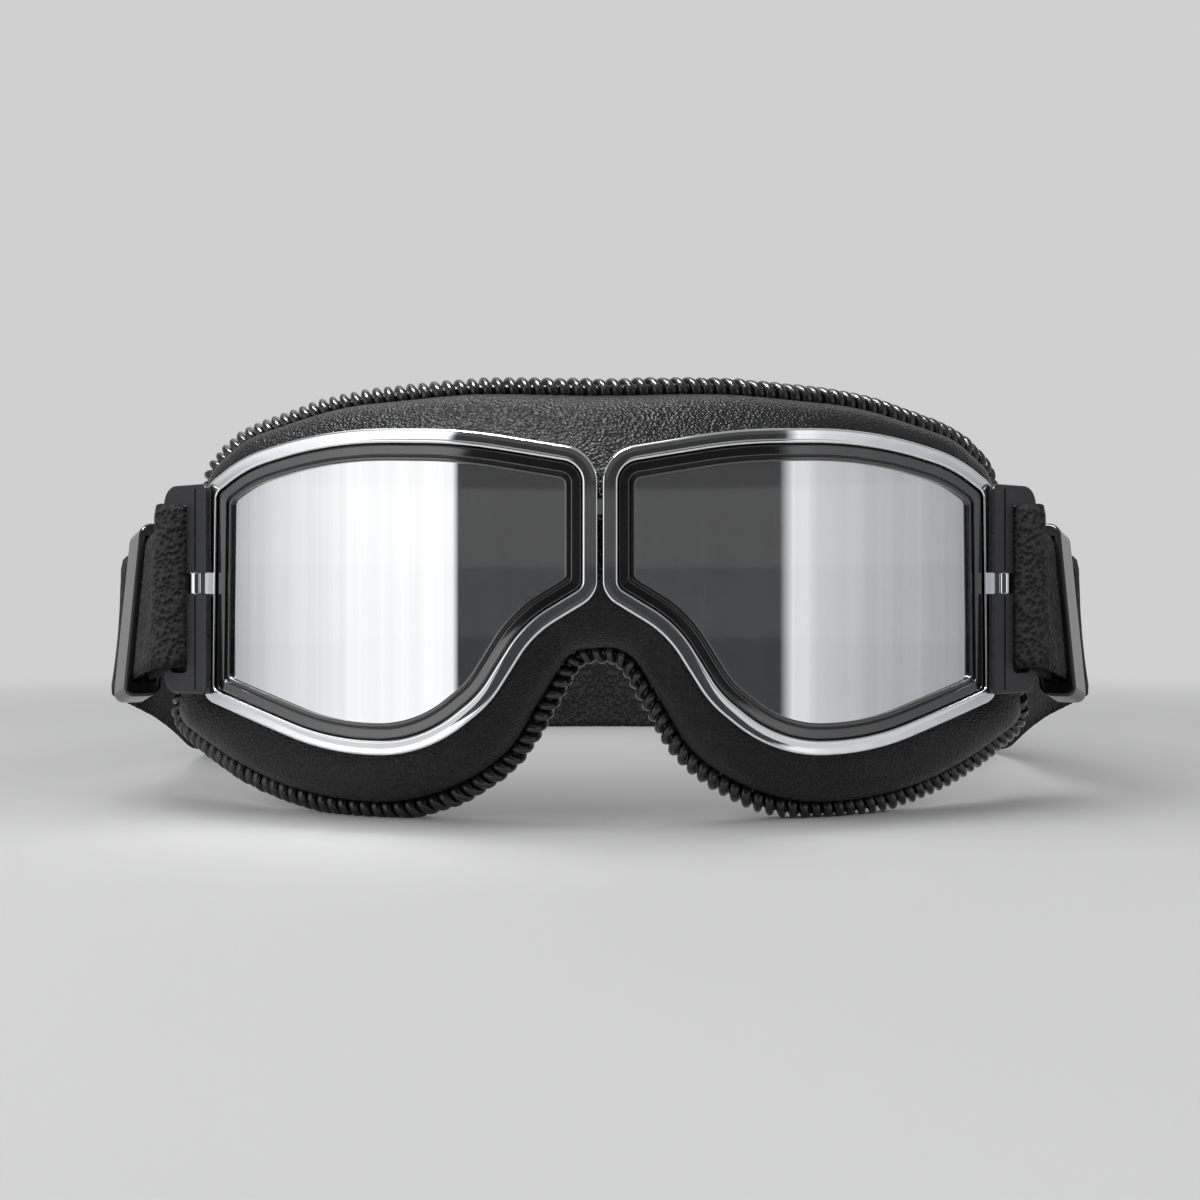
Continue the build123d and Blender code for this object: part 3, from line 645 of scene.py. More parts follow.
def pad_spoke(i, inner, puff):
    """One spoke's section, from the flange to the laced edge, at a depth below the skin's surface."""
    near, far = near_points[i], far_points[i]
    outward = unit(near, far)
    length = dist(near, far)
    before, after = far_points[i - 1], far_points[(i + 1) % SPOKES]
    run = dist(before, after)
    slant = hypot(run, rear_depth(after[0]) - rear_depth(before[0])) / run
    pad_front = RIM_DEPTH + PAD_SEAT
    start = (0, front_depth(near[0], pad_front))
    end = (length, rear_depth(far[0]) - (LACE_RADIUS + LACE_GAP) * slant)
    flange = front_depth(near[0] - PAD_FLANGE * outward[0], pad_front)
    chord = dist(start, end)
    crown = PAD_CROWN * chord
    radius = (chord**2 / 4 + crown**2) / (2 * crown)
    rise = ((end[1] - start[1]) / chord, (start[0] - end[0]) / chord)
    centre = [(start[k] + end[k]) / 2 - rise[k] * (radius - crown) for k in (0, 1)]
    first = atan2(start[1] - centre[1], start[0] - centre[0])
    last = atan2(end[1] - centre[1], end[0] - centre[0])
    if last < first:
        last += 2 * pi
    flange_middle = flange * FLANGE_MIDDLE + start[1] * (1 - FLANGE_MIDDLE)
    line = [(-PAD_FLANGE, flange + inner), (-PAD_FLANGE * FLANGE_MIDDLE, flange_middle + inner)]
    for k in range(ARC_POINTS + 1):
        share = k / ARC_POINTS
        angle = first + (last - first) * share
        puffed = radius - inner + puff * sin(pi * share) ** PUFF_POWER
        tuck = EDGE_TUCK * share**TUCK_POWER
        line.append((centre[0] + puffed * cos(angle) - tuck, centre[1] + puffed * sin(angle)))
    if puff:
        line.append((length - EDGE_TUCK - LAP_IN - inner, end[1] + LAP_BACK))
    return [(near[0] + out * outward[0], NOSE_Y + depth, near[1] + out * outward[1]) for out, depth in line]


CUT_TOLERANCE, JOIN_TOLERANCE, LEAST_MOVE = 1e-7, 1e-6, 1e-9


def half_to_whole(name, verts, faces):
    """Cuts a right-hand sheet at the middle, mirrors it and joins both halves."""
    bm = bmesh.new()
    made = [bm.verts.new(Vector(v) * MM) for v in verts]
    for face in faces:
        bm.faces.new([made[k] for k in face])
    half = bm.verts[:] + bm.edges[:] + bm.faces[:]
    middle, leftward = (0, 0, 0), (-1, 0, 0)
    bmesh.ops.bisect_plane(
        bm, geom=half, dist=CUT_TOLERANCE, plane_co=middle, plane_no=leftward, clear_outer=True
    )
    for v in bm.verts:
        if abs(v.co.x) < JOIN_TOLERANCE:
            v.co.x = 0
    copy = bmesh.ops.duplicate(bm, geom=bm.verts[:] + bm.edges[:] + bm.faces[:])["geom"]
    for v in (item for item in copy if isinstance(item, bmesh.types.BMVert)):
        v.co.x = -v.co.x
    bmesh.ops.reverse_faces(bm, faces=[item for item in copy if isinstance(item, bmesh.types.BMFace)])
    bmesh.ops.remove_doubles(bm, verts=bm.verts[:], dist=JOIN_TOLERANCE)
    mesh = bpy.data.meshes.new(name)
    bm.to_mesh(mesh)
    bm.free()
    for poly in mesh.polygons:
        poly.use_smooth = True
    return add_object(name, mesh)


def pad_sheet(name, inner, puff=0.0):
    verts = [p for i in range(SPOKES) for p in pad_spoke(i, inner, puff)]
    cols = len(verts) // SPOKES
    return half_to_whole(name, verts, grid_faces(SPOKES, cols, True, False, flip=True))


def swell(obj, pressure, cap, steps=20):
    """Puffs a sheet out by cloth simulation, with its open edges held, and keeps the result."""
    mesh = obj.data
    counts = {}
    for poly in mesh.polygons:
        for key in poly.edge_keys:
            counts[key] = counts.get(key, 0) + 1
    held = {v for key, c in counts.items() if c == 1 for v in key}
    near_held = {w for key in counts for v, w in (key, key[::-1]) if v in held}
    group = obj.vertex_groups.new(name="held")
    group.add(list(held | near_held), 1.0, "REPLACE")
    rest = np.array([v.co for v in mesh.vertices])
    cloth = obj.modifiers.new("swell", "CLOTH")
    settings = cloth.settings
    settings.quality = 6
    settings.mass = 0.3
    settings.tension_stiffness = 12
    settings.compression_stiffness = 12
    settings.shear_stiffness = 5
    settings.bending_stiffness = 1.5
    settings.vertex_group_mass = "held"
    settings.use_pressure = True
    settings.uniform_pressure_force = pressure
    settings.effector_weights.gravity = 0
    cloth.point_cache.frame_start = 1
    cloth.point_cache.frame_end = steps
    scene = bpy.context.scene
    for moment in range(1, steps + 1):
        scene.frame_set(moment)
    settled = obj.evaluated_get(bpy.context.evaluated_depsgraph_get())
    now = np.array([v.co for v in settled.to_mesh().vertices])
    settled.to_mesh_clear()
    obj.modifiers.remove(cloth)
    scene.frame_set(1)
    shift = now - rest
    length = np.linalg.norm(shift, axis=1, keepdims=True)
    shift *= np.minimum(1, cap / np.maximum(length, LEAST_MOVE))
    for v, place in zip(mesh.vertices, rest + shift):
        v.co = place
    mesh.update()


PER_METRE = 1000
FOLD_SIZE, WRINKLE_SIZE, WRINKLE_DEPTH = 14, 4.5, 9
NOSE_HEIGHT, NOSE_REACH = 40, 26
FOLD_SHARE, WRINKLE_SHARE, NOSE_SHARE = 0.9, 0.25, 0.9


def crease(obj, amount):
    """Soft folds and dimples over a sheet, stronger round the nose."""
    mesh = obj.data
    normals = [v.normal.copy() for v in mesh.vertices]
    for v, n in zip(mesh.vertices, normals):
        p = v.co * PER_METRE
        slow = noise.noise(Vector((abs(p.x) / FOLD_SIZE, p.y / FOLD_SIZE, p.z / FOLD_SIZE)))
        fine = noise.noise(Vector((p.x / WRINKLE_SIZE, p.y / WRINKLE_DEPTH, p.z / WRINKLE_SIZE)))
        near_nose = max(0.0, 1 - hypot(p.x, p.z - NOSE_HEIGHT) / NOSE_REACH)
        v.co += n * amount * (slow * FOLD_SHARE + fine * (WRINKLE_SHARE + NOSE_SHARE * near_nose)) * MM


def thicken(obj, thickness):
    """Gives a sheet its thickness on its inner side."""
    mod = obj.modifiers.new("thickness", "SOLIDIFY")
    mod.thickness = thickness * MM
    mod.offset = -1
    mod.use_even_offset = False
    mesh = bpy.data.meshes.new_from_object(obj.evaluated_get(bpy.context.evaluated_depsgraph_get()))
    obj.modifiers.remove(mod)
    old = obj.data
    obj.data = mesh
    bpy.data.meshes.remove(old)
    for poly in mesh.polygons:
        poly.use_smooth = True


SKIN_PUFF, SWELL_PRESSURE, SWELL_LIMIT = 0.35, 4.0, 0.9
SKIN_CREASE, LINING_CREASE = 0.22, 0.12

skin = pad_sheet("mask_skin", 0.0, puff=SKIN_PUFF)
swell(skin, SWELL_PRESSURE, SWELL_LIMIT * MM)
crease(skin, SKIN_CREASE)
thicken(skin, LEATHER)
finish_piece(skin, "front", "leather", leather, "face_pad_skin")

padding = pad_sheet("mask_foam", LEATHER + LAYER_GAP)
thicken(padding, FOAM)
finish_piece(padding, "front", "foam", foam, "face_pad_foam")

inner_face = pad_sheet("mask_lining", LEATHER + FOAM + 2 * LAYER_GAP)
crease(inner_face, LINING_CREASE)
thicken(inner_face, LINING)
finish_piece(inner_face, "front", "lining", fleece, "face_pad_lining")

# The whip-stitched edge: a roll, and a turn of lace round it for each stitch
LACE_PITCH, ROLL_RADIUS, ROLL_POINTS = 2.75, 1.35, 10
TURN_POINTS, LACE_POINTS = 22, 10
LACE_WIDE, LACE_HIGH, LACE_SLANT, LACE_REACH = 1.2, 1.14, 1.15, 1.7
LACE_SWELL, SWELL_PHASE, SLANT_PHASE = 0.16, 0.6, 0.5
LEAST_LACE_HEIGHT, MIDDLE_MARGIN = 0.03, 0.01
WIDE_SPREAD, HIGH_SPREAD, SLANT_SPREAD, REACH_SPREAD = (0.93, 1.05), (0.92, 1.07), (0.85, 1.15), (0.97, 1.05)


def lace_path():
    """The laced edge's centre line all the way round, as (x, y, z) in millimetres."""
    half = []
    last = SPOKES - len(spoke_shares(len(PAD_PTS) - 1, STEP_SCALE))
    for i in range(last + 1):
        x, z = far_points[i]
        if x > MIDDLE_MARGIN:
            half.append((x, NOSE_Y + rear_depth(x), z))
    top = [(0.0, NOSE_Y + PAD_DEPTH, half[0][2])]
    bottom = [(0.0, NOSE_Y + PAD_DEPTH, half[-1][2])]
    right = top + half + bottom
    return right + [(-x, y, z) for x, y, z in half[::-1]]


def even_points(points, pitch):
    """Points at an even pitch round a closed line."""
    closed = np.array(points + points[:1])
    lengths = np.linalg.norm(np.diff(closed, axis=0), axis=1)
    runs = np.concatenate([[0], np.cumsum(lengths)])
    count = round(runs[-1] / pitch)
    wanted = np.arange(count) * runs[-1] / count
    return np.stack([np.interp(wanted, runs, closed[:, k]) for k in range(3)], axis=1)


def section_axes(points, k):
    """Directions along, inward and forward at one point of the laced edge."""
    along = Vector(points[(k + 1) % len(points)] - points[k - 1]).normalized()
    inward = along.cross(Vector((0, -1, 0))).normalized()
    return along, inward, inward.cross(along).normalized()


def lace_mesh():
    """The roll and the turns of lace: (vertices, faces)."""
    line = lace_path()
    stitches, roll = even_points(line, LACE_PITCH), even_points(line, LACE_PITCH / 3)
    verts = []
    for k in range(len(roll)):
        _, inward, forward = section_axes(roll, k)
        centre = Vector(roll[k])
        for j in range(ROLL_POINTS):
            angle = 2 * pi * j / ROLL_POINTS
            verts.append(centre + inward * cos(angle) * ROLL_RADIUS + forward * sin(angle) * ROLL_RADIUS)
    faces = grid_faces(len(roll), ROLL_POINTS, True, True)
    for k in range(len(stitches)):
        along, inward, forward = section_axes(stitches, k)
        middle = Vector(stitches[k])
        wide = LACE_WIDE * rng.uniform(*WIDE_SPREAD)
        high = LACE_HIGH * rng.uniform(*HIGH_SPREAD)
        slant = LACE_SLANT * rng.uniform(*SLANT_SPREAD)
        reach = LACE_REACH * rng.uniform(*REACH_SPREAD)
        base = len(verts)
        for i in range(TURN_POINTS):
            angle = 2 * pi * i / TURN_POINTS
            spine = inward * cos(angle) + forward * sin(angle)
            fullness = 1.0 + LACE_SWELL * cos(angle - SWELL_PHASE)
            centre = middle + spine * reach + along * slant * sin(angle + SLANT_PHASE)
            for j in range(LACE_POINTS):
                around = 2 * pi * j / LACE_POINTS
                side = centre + along * cos(around) * wide * fullness
                verts.append(side + spine * sin(around) * high * fullness)
        faces += [tuple(base + n for n in f) for f in grid_faces(TURN_POINTS, LACE_POINTS, True, True)]
    return [(x, y, max(z, LEAST_LACE_HEIGHT)) for x, y, z in verts], faces


verts, faces = lace_mesh()
lacing = make_object("lace_stitches", verts, faces)
fix_normals(lacing)
finish_piece(lacing, "front", "lacing", lace_leather, "edge_lacing")

# The strap
FALL = (STRAP_LIFT + STRAP_WIDTH / 2 * (sqrt(1 + STRAP_SLOPE**2) - 1)) / STRAP_SLOPE
LANDING_Y = NOSE_Y + BAR_DEPTH + FALL
SLOPE_ANGLE = atan2(STRAP_SLOPE, 1)
REACH = STRAP_LANDING * tan(SLOPE_ANGLE / 2)
STRAP_POINTS, EDGE_FROM, EDGE_PART, EDGE_THINNING, EDGE_MARGIN = 16, 0.9, 0.1, 0.75, 0.15
RIPPLE, RIPPLE_LENGTH, RIPPLE_ACROSS, RIPPLE_SIDE, EDGE_CALM = 0.12, 9, 2.2, 0.1, 0.3
FRAY, FRAY_LENGTH, FRAY_PLACE = 0.12, 1.3, 3.7
LEAST_STRAP_HEIGHT, SIDE_SHIFT = 0.02, 0.05
PLAN_STEP, TURN_STEPS, RUN_STEPS, LOOP_STEPS = 0.6, 30, 40, 160


def strap_line(y):
    """Height of the strap's middle and its slope there, along the side view."""
    start_y = LANDING_Y - REACH * cos(SLOPE_ANGLE)
    end_y = LANDING_Y + REACH
    if y <= start_y:
        return STRAP_WIDTH / 2 + (LANDING_Y - y) * STRAP_SLOPE, STRAP_SLOPE
    if y >= end_y:
        return STRAP_WIDTH / 2, 0.0
    angle = asin((end_y - y) / STRAP_LANDING)
    return STRAP_WIDTH / 2 + STRAP_LANDING * (1 - cos(angle)), tan(angle)


def rounded_path(pts, radii, step):
    """Points along an open line with rounded corners, in plan."""
    line = [pts[0]]
    for i in range(1, len(pts) - 1):
        turn = turn_at(pts, i)[2]
        steps = max(3, int(abs(turn) * radii[i - 1] / step))
        for k in range(steps + 1):
            line.append(arc_point(pts, [0] + radii + [0], i, k / steps))
    line.append(pts[-1])
    dense = [line[0]]
    for start, end in zip(line, line[1:]):
        steps = max(1, round(dist(start, end) / step))
        dense += [between(start, end, k / steps) for k in range(1, steps + 1)]
    return dense


def smooth(t):
    t = min(1.0, max(0.0, t))
    return t * t * (3 - 2 * t)


def run_from_bar(x, y):
    """How far a point lies from the bracket's bar, along the doubled strap."""
    return (x - BAR_X) * ALONG[0] + (y - NOSE_Y - BAR_DEPTH) * ALONG[1]


def lean_out(x, y, z):
    """The strap and its slider lean, the lower edge further out, and the loop tucks in behind them."""
    run = run_from_bar(x, y)
    behind = y - NOSE_Y - TURN_DEPTH
    angle = min(0.0, max(radians(STRAP_ANGLE - 90), atan2(behind, x - TURN_X)))
    share = smooth((run - LEAN_FROM) / LEAN_OVER) * (1 - smooth((run - LEAN_FADE_FROM) / LEAN_FADE_OVER))
    untucked = smooth((behind - UNTUCK_FROM) / UNTUCK_OVER)
    tuck = STRAP_TUCK * smooth((run - TUCK_FROM) / TUCK_OVER) * (1 - untucked)
    shift = STRAP_LEAN * (strap_line(y)[0] - LEAN_DROP - z) * share - tuck
    return x + shift * cos(angle), y + shift * sin(angle), z


def strap_band(plan, flare=0.0):
    """A band along a plan line: (vertices, faces, uvs). Its edges are rounded and a little uneven."""
    shares = [-1 + 2 * k / STRAP_POINTS for k in range(STRAP_POINTS + 1)]
    section = [(1.0, share) for share in shares] + [(-1.0, -share) for share in shares]
    verts, uvs = [], []
    run = 0.0
    for i, place in enumerate(plan):
        along = unit(plan[max(i - 1, 0)], plan[min(i + 1, len(plan) - 1)])
        run += dist(place, plan[i - 1]) if i else 0
        height, slope = strap_line(place[1])
        stretch = sqrt(1 + slope * slope) * (1 + flare * (1 - smooth(run_from_bar(*place) / FLARE_REACH)))
        for side, share in section:
            edge = max(0.0, abs(share) - EDGE_FROM) / EDGE_PART
            thick = STRAP_THICKNESS / 2 * sqrt(max(0.0, 1 - EDGE_THINNING * edge**2))
            wave = noise.noise(Vector((run / RIPPLE_LENGTH, share * RIPPLE_ACROSS, side * RIPPLE_SIDE)))
            ripple = RIPPLE * wave * (1 - EDGE_CALM * edge)
            fray = FRAY * noise.noise(Vector((run / FRAY_LENGTH, share, FRAY_PLACE))) * edge
            z = height + share * (STRAP_WIDTH / 2 - EDGE_MARGIN + fray) * stretch
            off = side * thick + ripple
            x, y = place[0] + along[1] * off, place[1] - along[0] * off
            verts.append(lean_out(x, y, max(z, LEAST_STRAP_HEIGHT)))
            uvs.append((run * MM, share * STRAP_WIDTH / 2 * MM + side * SIDE_SHIFT))
    cols = len(section)
    faces = grid_faces(len(plan), cols, False, True)
    faces.append(tuple(range(cols)))
    faces.append(tuple((len(plan) - 1) * cols + k for k in range(cols))[::-1])
    return verts, faces, uvs


doubled = [
    (STRAP_RUN - END_SETBACK, STRAP_OFFSET),
    (TAPER_RUN, STRAP_OFFSET),
    (-WRAP_REACH, WRAP_SIDE),
    (-WRAP_REACH - WRAP_BULGE / 2, -WRAP_SIDE - WRAP_BULGE),
    (TAPER_RUN - TAPER_LEAD, -STRAP_OFFSET),
    (STRAP_RUN, -STRAP_OFFSET),
]
doubled_rounds = [TAPER_ROUND, WRAP_RADIUS - INNER_TIGHTER, WRAP_RADIUS + OUTER_WIDER, TAPER_ROUND]
end_plan = [
    (BAR_X + run * ALONG[0] - aside * ALONG[1], NOSE_Y + BAR_DEPTH + run * ALONG[1] + aside * ALONG[0])
    for run, aside in rounded_path(doubled, doubled_rounds, PLAN_STEP)
]
verts, faces, uvs = strap_band(end_plan, STRAP_FLARE)
for obj, side in zip(mirror_pair("strap_doubled", verts, faces, uvs), SIDES):
    fix_normals(obj)
    finish_piece(obj, f"{side}_ear", "strap", crepe, f"{side}_strap_end")

joint_angle = STRAP_ANGLE - 90 + degrees(JOINT_GAP / TURN_RADIUS)
half_plan = []
for k in range(TURN_STEPS):
    angle = radians(joint_angle * (1 - k / TURN_STEPS))
    half_plan.append((TURN_X + TURN_RADIUS * cos(angle), NOSE_Y + TURN_DEPTH + TURN_RADIUS * sin(angle)))
half_plan += [(LOOP_RADIUS, NOSE_Y + TURN_DEPTH + SIDE_RUN * k / RUN_STEPS) for k in range(RUN_STEPS)]
for k in range(LOOP_STEPS + 1):
    angle = radians(90 * k / LOOP_STEPS)
    half_plan.append((LOOP_RADIUS * cos(angle), NOSE_Y + LOOP_DEPTH + LOOP_RADIUS * sin(angle)))
verts, faces, uvs = strap_band(half_plan)
for obj, side, sign in zip(mirror_pair("strap_loop", verts, faces, uvs), SIDES, (1, -1)):
    fix_normals(obj)
    finish_piece(obj, None, "strap", crepe, f"{side}_strap_half")
    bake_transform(obj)


# Sliders, and dark strips painted as the shade in the hinge seams
def leaning_slider(side, sign):
    """The slider's frame with the strap's lean."""
    mesh = nodes[f"{side}_strap_slider"].data.copy()
    for v in mesh.vertices:
        x, y, z = lean_out(sign * v.co.x / MM, v.co.y / MM, v.co.z / MM)
        v.co = (sign * x * MM, y * MM, z * MM)
    obj = add_object(f"{side}_slider_frame", mesh)
    finish_piece(obj, f"{side}_slider", "slider", slider_gloss, f"{side}_strap_slider")


SEAM_AT, SEAM_HALF, SEAM_SINK, SEAM_PROUD = -1.42, 0.24, 0.02, 0.09
SEAM_SPANS, SEAM_STEPS = ((27.6, 48.3), (53.9, 72.0)), 6


def hinge_seam_painted_shade():
    """A fine dark strip painted as the shade of the seam where the plate meets the hinge's leaf, above and
    below the knuckle.
    """
    along, out = (cos(BRACKET), sin(BRACKET)), (sin(BRACKET), -cos(BRACKET))
    face = PLATE_MIDDLE + BRACKET_THICKNESS / 2 - SEAM_SINK
    verts, faces = [], []
    for span in SEAM_SPANS:
        base = len(verts)
        for z in span:
            for k in range(SEAM_STEPS + 1):
                angle = pi * k / SEAM_STEPS
                run = SEAM_AT + SEAM_HALF * cos(angle)
                off = face + SEAM_PROUD * sin(angle)
                depth = HINGE_DEPTH + run * along[1] + off * out[1]
                verts.append((HINGE_X + run * along[0] + off * out[0], NOSE_Y + depth, z))
        faces += [tuple(base + n for n in f) for f in grid_faces(2, SEAM_STEPS + 1)]
    return verts, faces


for side, sign in zip(SIDES, (1, -1)):
    leaning_slider(side, sign)
# Dark strips on the brackets: painted shade of the hinge seams.
verts, faces = hinge_seam_painted_shade()
for obj, side in zip(mirror_pair("hinge_seam_painted_shade", verts, faces), SIDES):
    finish_piece(obj, f"{side}_ear", "bracket", seam_shadow)

# CAD pieces that stay
paired = {"hinge_knuckle": chrome, "hinge_pin": chrome, "back_frame": frame_plastic, "ear_bracket": lacquer}
stays = {"bridge_spacer": chrome, "bridge_strip": steel, "bridge_rivets": steel}
for side in SIDES:
    stays.update({f"{side}_{name}": material for name, material in paired.items()})
for name, material in stays.items():
    node = nodes[name]
    if not node.material_slots:
        node.data.materials.append(material)
    for material_slot in node.material_slots:
        material_slot.material = material

# Floor and backdrop: distances in metres, the backdrop's tone and the share of it in reflections
FLOOR_PLAIN, FLOOR_FAR, BACKDROP, WORLD_GLOSS = 0.22, 0.62, 0.63, 0.35
COVE_NEAR, COVE_FAR, COVE_BEND, COVE_HEIGHT, COVE_HALF, COVE_STEPS = -3.0, 1.4, 0.5, 2.2, 3.0, 18


def seen_rays(mat):
    """1 for what the camera, a mirror or a glass shows directly, and 0 for the rest."""
    path = mat.add("ShaderNodeLightPath")
    seen = mat.math("ADD", path.outputs["Is Camera Ray"], path.outputs["Is Glossy Ray"])
    return mat.math("ADD", seen, path.outputs["Is Transmission Ray"], clamp=True)


def floor_material():
    """A matt pale floor that runs out into an even pale backdrop."""
    mat = Nodes("pale_floor")
    point = mat.mapping(1.0)
    mat.feed("Base Color", mat.grey(mat.noise(point, scale=3, detail=3), 0.76, 0.78))
    mat.set(Roughness=0.75, Specular_IOR_Level=0.15)
    far = mat.add("ShaderNodeMapRange")
    far.interpolation_type = "SMOOTHSTEP"
    far.inputs["From Min"].default_value = FLOOR_PLAIN
    far.inputs["From Max"].default_value = FLOOR_FAR
    mat.link(mat.vector_math("LENGTH", point)["Value"], far.inputs["Value"])
    glow = mat.add("ShaderNodeEmission")
    glow.inputs["Color"].default_value = (BACKDROP, BACKDROP, BACKDROP, 1)
    mix = mat.add("ShaderNodeMixShader")
    mat.link(mat.math("MULTIPLY", far.outputs["Result"], seen_rays(mat)), mix.inputs["Fac"])
    mat.link(mat.bsdf.outputs[0], mix.inputs[1])
    mat.link(glow.outputs[0], mix.inputs[2])
    mat.link(mix.outputs[0], mat.out.inputs["Surface"])
    return mat.material


def cove():
    """Floor that sweeps up into a backdrop."""
    line = [(COVE_NEAR, 0.0), (COVE_FAR, 0.0)]
    for k in range(1, COVE_STEPS + 1):
        angle = radians(90 * k / COVE_STEPS)
        line.append((COVE_FAR + COVE_BEND * sin(angle), COVE_BEND * (1 - cos(angle))))
    line.append((COVE_FAR + COVE_BEND, COVE_HEIGHT))
    verts = [(sign * COVE_HALF / MM, y / MM, z / MM) for y, z in line for sign in (-1, 1)]
    faces = [(2 * k, 2 * k + 1, 2 * k + 3, 2 * k + 2) for k in range(len(line) - 1)]
    return make_object("floor", verts, faces)


floor = cove()
floor.data.materials.append(floor_material())

# A ring of glowing cards round the front, which only reflections show: painted reflections of soft white
# lamps at the sides and of a dark room in front. Tones stand at bearings, in degrees
SURROUND_RADIUS, SURROUND_HEIGHT, SURROUND_BACK = 0.25, 0.135, 0.01
SURROUND_LOW, SURROUND_SPAN, SURROUND_STEPS = 0.4, 112, 96
PAINTED_REFLECTION_TONES = [
    (-112, (0.30,) * 3),
    (-94, (0.42, 0.43, 0.455)),
    (-78, (0.95, 0.96, 0.98)),
    (-62, (1.25,) * 3),
    (-43.6, (1.32,) * 3),
    (-43.2, (0.0,) * 3),
    (51.8, (0.0,) * 3),
    (52.3, (0.98, 0.985, 1.0)),
    (60, (0.66, 0.665, 0.68)),
    (76, (0.50, 0.505, 0.52)),
    (94, (0.34, 0.345, 0.36)),
    (112, (0.25,) * 3),
]
# Heights in metres and tones of the painted room reflection, with a paler band across it.
PAINTED_ROOM_TONES = [
    (0.0, (0.050, 0.051, 0.055)),
    (0.058, (0.050, 0.051, 0.055)),
    (0.060, (0.078,) * 3),
    (0.086, (0.082,) * 3),
    (0.088, (0.040,) * 3),
    (SURROUND_HEIGHT, (0.034,) * 3),
]


def surround_material():
    """Glowing soft white at the sides and dark in front, with a paler band and streaks: painted reflections
    of lamps and of the room, where the lenses would show the room.
    """
    mat = Nodes("painted_reflection_cards")
    place = mat.add("ShaderNodeSeparateXYZ")
    mat.link(mat.mapping(1.0), place.inputs[0])
    ahead = mat.math("SUBTRACT", NOSE_Y * MM + SURROUND_BACK, place.outputs["Y"])
    bearing = mat.math("MULTIPLY", mat.math("ARCTAN2", place.outputs["X"], ahead), 1 / pi)
    share = mat.math("ADD", mat.math("MULTIPLY", bearing, 0.5), 0.5)
    painted_side_glow = mat.ramp(share, [(0.5 + angle / 360, tone) for angle, tone in PAINTED_REFLECTION_TONES])
    band = mat.add("ShaderNodeMapRange")
    band.inputs["From Max"].default_value = SURROUND_HEIGHT
    mat.link(place.outputs["Z"], band.inputs["Value"])
    dark = mat.ramp(band.outputs["Result"], [(z / SURROUND_HEIGHT, tone) for z, tone in PAINTED_ROOM_TONES])
    streaks = mat.noise(mat.mapping((60, 60, 0.4)), detail=5, rough=0.65)
    # The cards glow though they are no lamps: what they give is painted reflection.
    glow = mat.add("ShaderNodeEmission")
    mat.link(mat.vector_math("ADD", painted_side_glow, dark)[0], glow.inputs["Color"])
    mat.link(mat.math("ADD", mat.math("MULTIPLY", streaks, 0.5), 0.75), glow.inputs["Strength"])
    mat.link(glow.outputs[0], mat.out.inputs["Surface"])
    return mat.material


def surround():
    verts = []
    for k in range(SURROUND_STEPS + 1):
        angle = radians(-SURROUND_SPAN + 2 * SURROUND_SPAN * k / SURROUND_STEPS)
        x, y = SURROUND_RADIUS * sin(angle), NOSE_Y * MM + SURROUND_BACK - SURROUND_RADIUS * cos(angle)
        verts += [(x / MM, y / MM, SURROUND_LOW), (x / MM, y / MM, SURROUND_HEIGHT / MM)]
    faces = [(2 * k, 2 * k + 1, 2 * k + 3, 2 * k + 2) for k in range(SURROUND_STEPS)]
    obj = make_object("painted_reflection_cards", verts, faces, rounded=False)
    obj.data.materials.append(surround_material())
    obj.visible_camera = False
    obj.visible_shadow = False
    obj.visible_diffuse = False
    obj.visible_transmission = False


surround()


# Lamps, world and camera
def area(name, location, target, size, energy, glossy=True, diffuse=True):
    data = bpy.data.lights.new(name, "AREA")
    data.shape = "RECTANGLE"
    data.size, data.size_y = size
    data.energy = energy
    obj = add_object(name, data)
    obj.location = location
    obj.rotation_euler = (Vector(target) - Vector(location)).to_track_quat("-Z", "Y").to_euler()
    obj.visible_camera = False
    obj.visible_glossy = glossy
    obj.visible_diffuse = diffuse


nose = NOSE_Y * MM
area("left_fill", (-0.55, nose - 0.35, 0.45), (0, nose, 0.05), (0.6, 0.5), 2.6, glossy=False)
area("right_fill", (0.6, nose - 0.3, 0.4), (0, nose, 0.05), (0.6, 0.5), 1.9, glossy=False)
area("top_box", (-0.35, nose + 0.1, 1.3), (0, 0, 0.03), (1.2, 1.0), 5.5)
area("brow_box", (-0.15, nose - 0.21, 0.53), (-0.03, nose + 0.015, 0.088), (0.3, 0.12), 7.0, diffuse=False)
area("rear_box", (0.1, 0.9, 0.9), (0, 0, 0.05), (1.2, 0.6), 1.2)

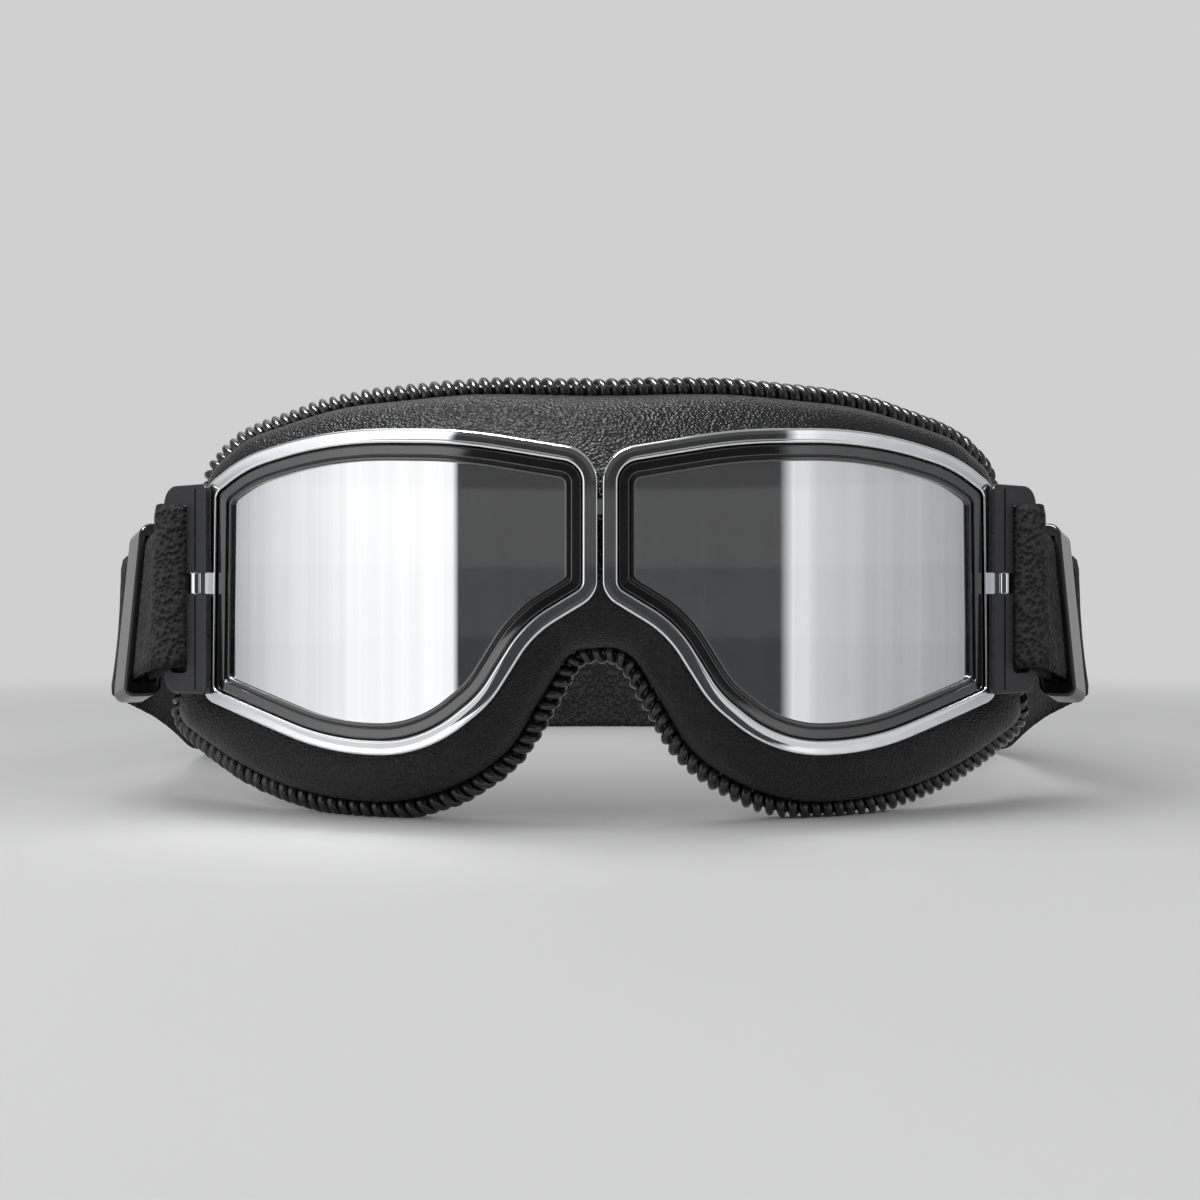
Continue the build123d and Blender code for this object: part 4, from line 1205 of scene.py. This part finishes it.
AMBIENT_COLOUR, AMBIENT_STRENGTH = (0.5, 0.505, 0.515, 1), 0.3


def studio_world():
    """Dim even light, which the camera, a glass and in part a mirror see as the pale backdrop."""
    world = bpy.data.worlds.new("studio")
    world.use_nodes = True
    tree = world.node_tree
    ambient = tree.nodes["Background"]
    ambient.inputs["Color"].default_value = AMBIENT_COLOUR
    ambient.inputs["Strength"].default_value = AMBIENT_STRENGTH
    pale = tree.nodes.new("ShaderNodeBackground")
    pale.inputs["Color"].default_value = (BACKDROP, BACKDROP, BACKDROP, 1)
    path = tree.nodes.new("ShaderNodeLightPath")
    seen = tree.nodes.new("ShaderNodeMath")
    seen.operation = "MAXIMUM"
    tree.links.new(path.outputs["Is Camera Ray"], seen.inputs[0])
    tree.links.new(path.outputs["Is Transmission Ray"], seen.inputs[1])
    gloss = tree.nodes.new("ShaderNodeMath")
    gloss.operation = "MULTIPLY_ADD"
    tree.links.new(path.outputs["Is Glossy Ray"], gloss.inputs[0])
    gloss.inputs[1].default_value = WORLD_GLOSS
    tree.links.new(seen.outputs[0], gloss.inputs[2])
    mix = tree.nodes.new("ShaderNodeMixShader")
    tree.links.new(gloss.outputs[0], mix.inputs["Fac"])
    tree.links.new(ambient.outputs[0], mix.inputs[1])
    tree.links.new(pale.outputs[0], mix.inputs[2])
    tree.links.new(mix.outputs[0], tree.nodes["World Output"].inputs["Surface"])
    return world


CAMERA_DISTANCE, CAMERA_HEIGHT = 0.3, 0.0474
SENSOR_WIDTH, FOCUS_PIXELS, PICTURE_PIXELS, CLIP_START = 36, 1514, 1200, 0.01

bpy.context.scene.world = studio_world()
camera_data = bpy.data.cameras.new("camera")
camera_data.sensor_width = SENSOR_WIDTH
camera_data.lens = FOCUS_PIXELS / PICTURE_PIXELS * SENSOR_WIDTH
camera_data.clip_start = CLIP_START
camera = add_object("camera", camera_data)
camera.location = (0, nose - CAMERA_DISTANCE, CAMERA_HEIGHT)
camera.rotation_euler = (radians(90), 0, 0)
bpy.context.scene.camera = camera
bpy.context.scene.view_settings.view_transform = "Standard"
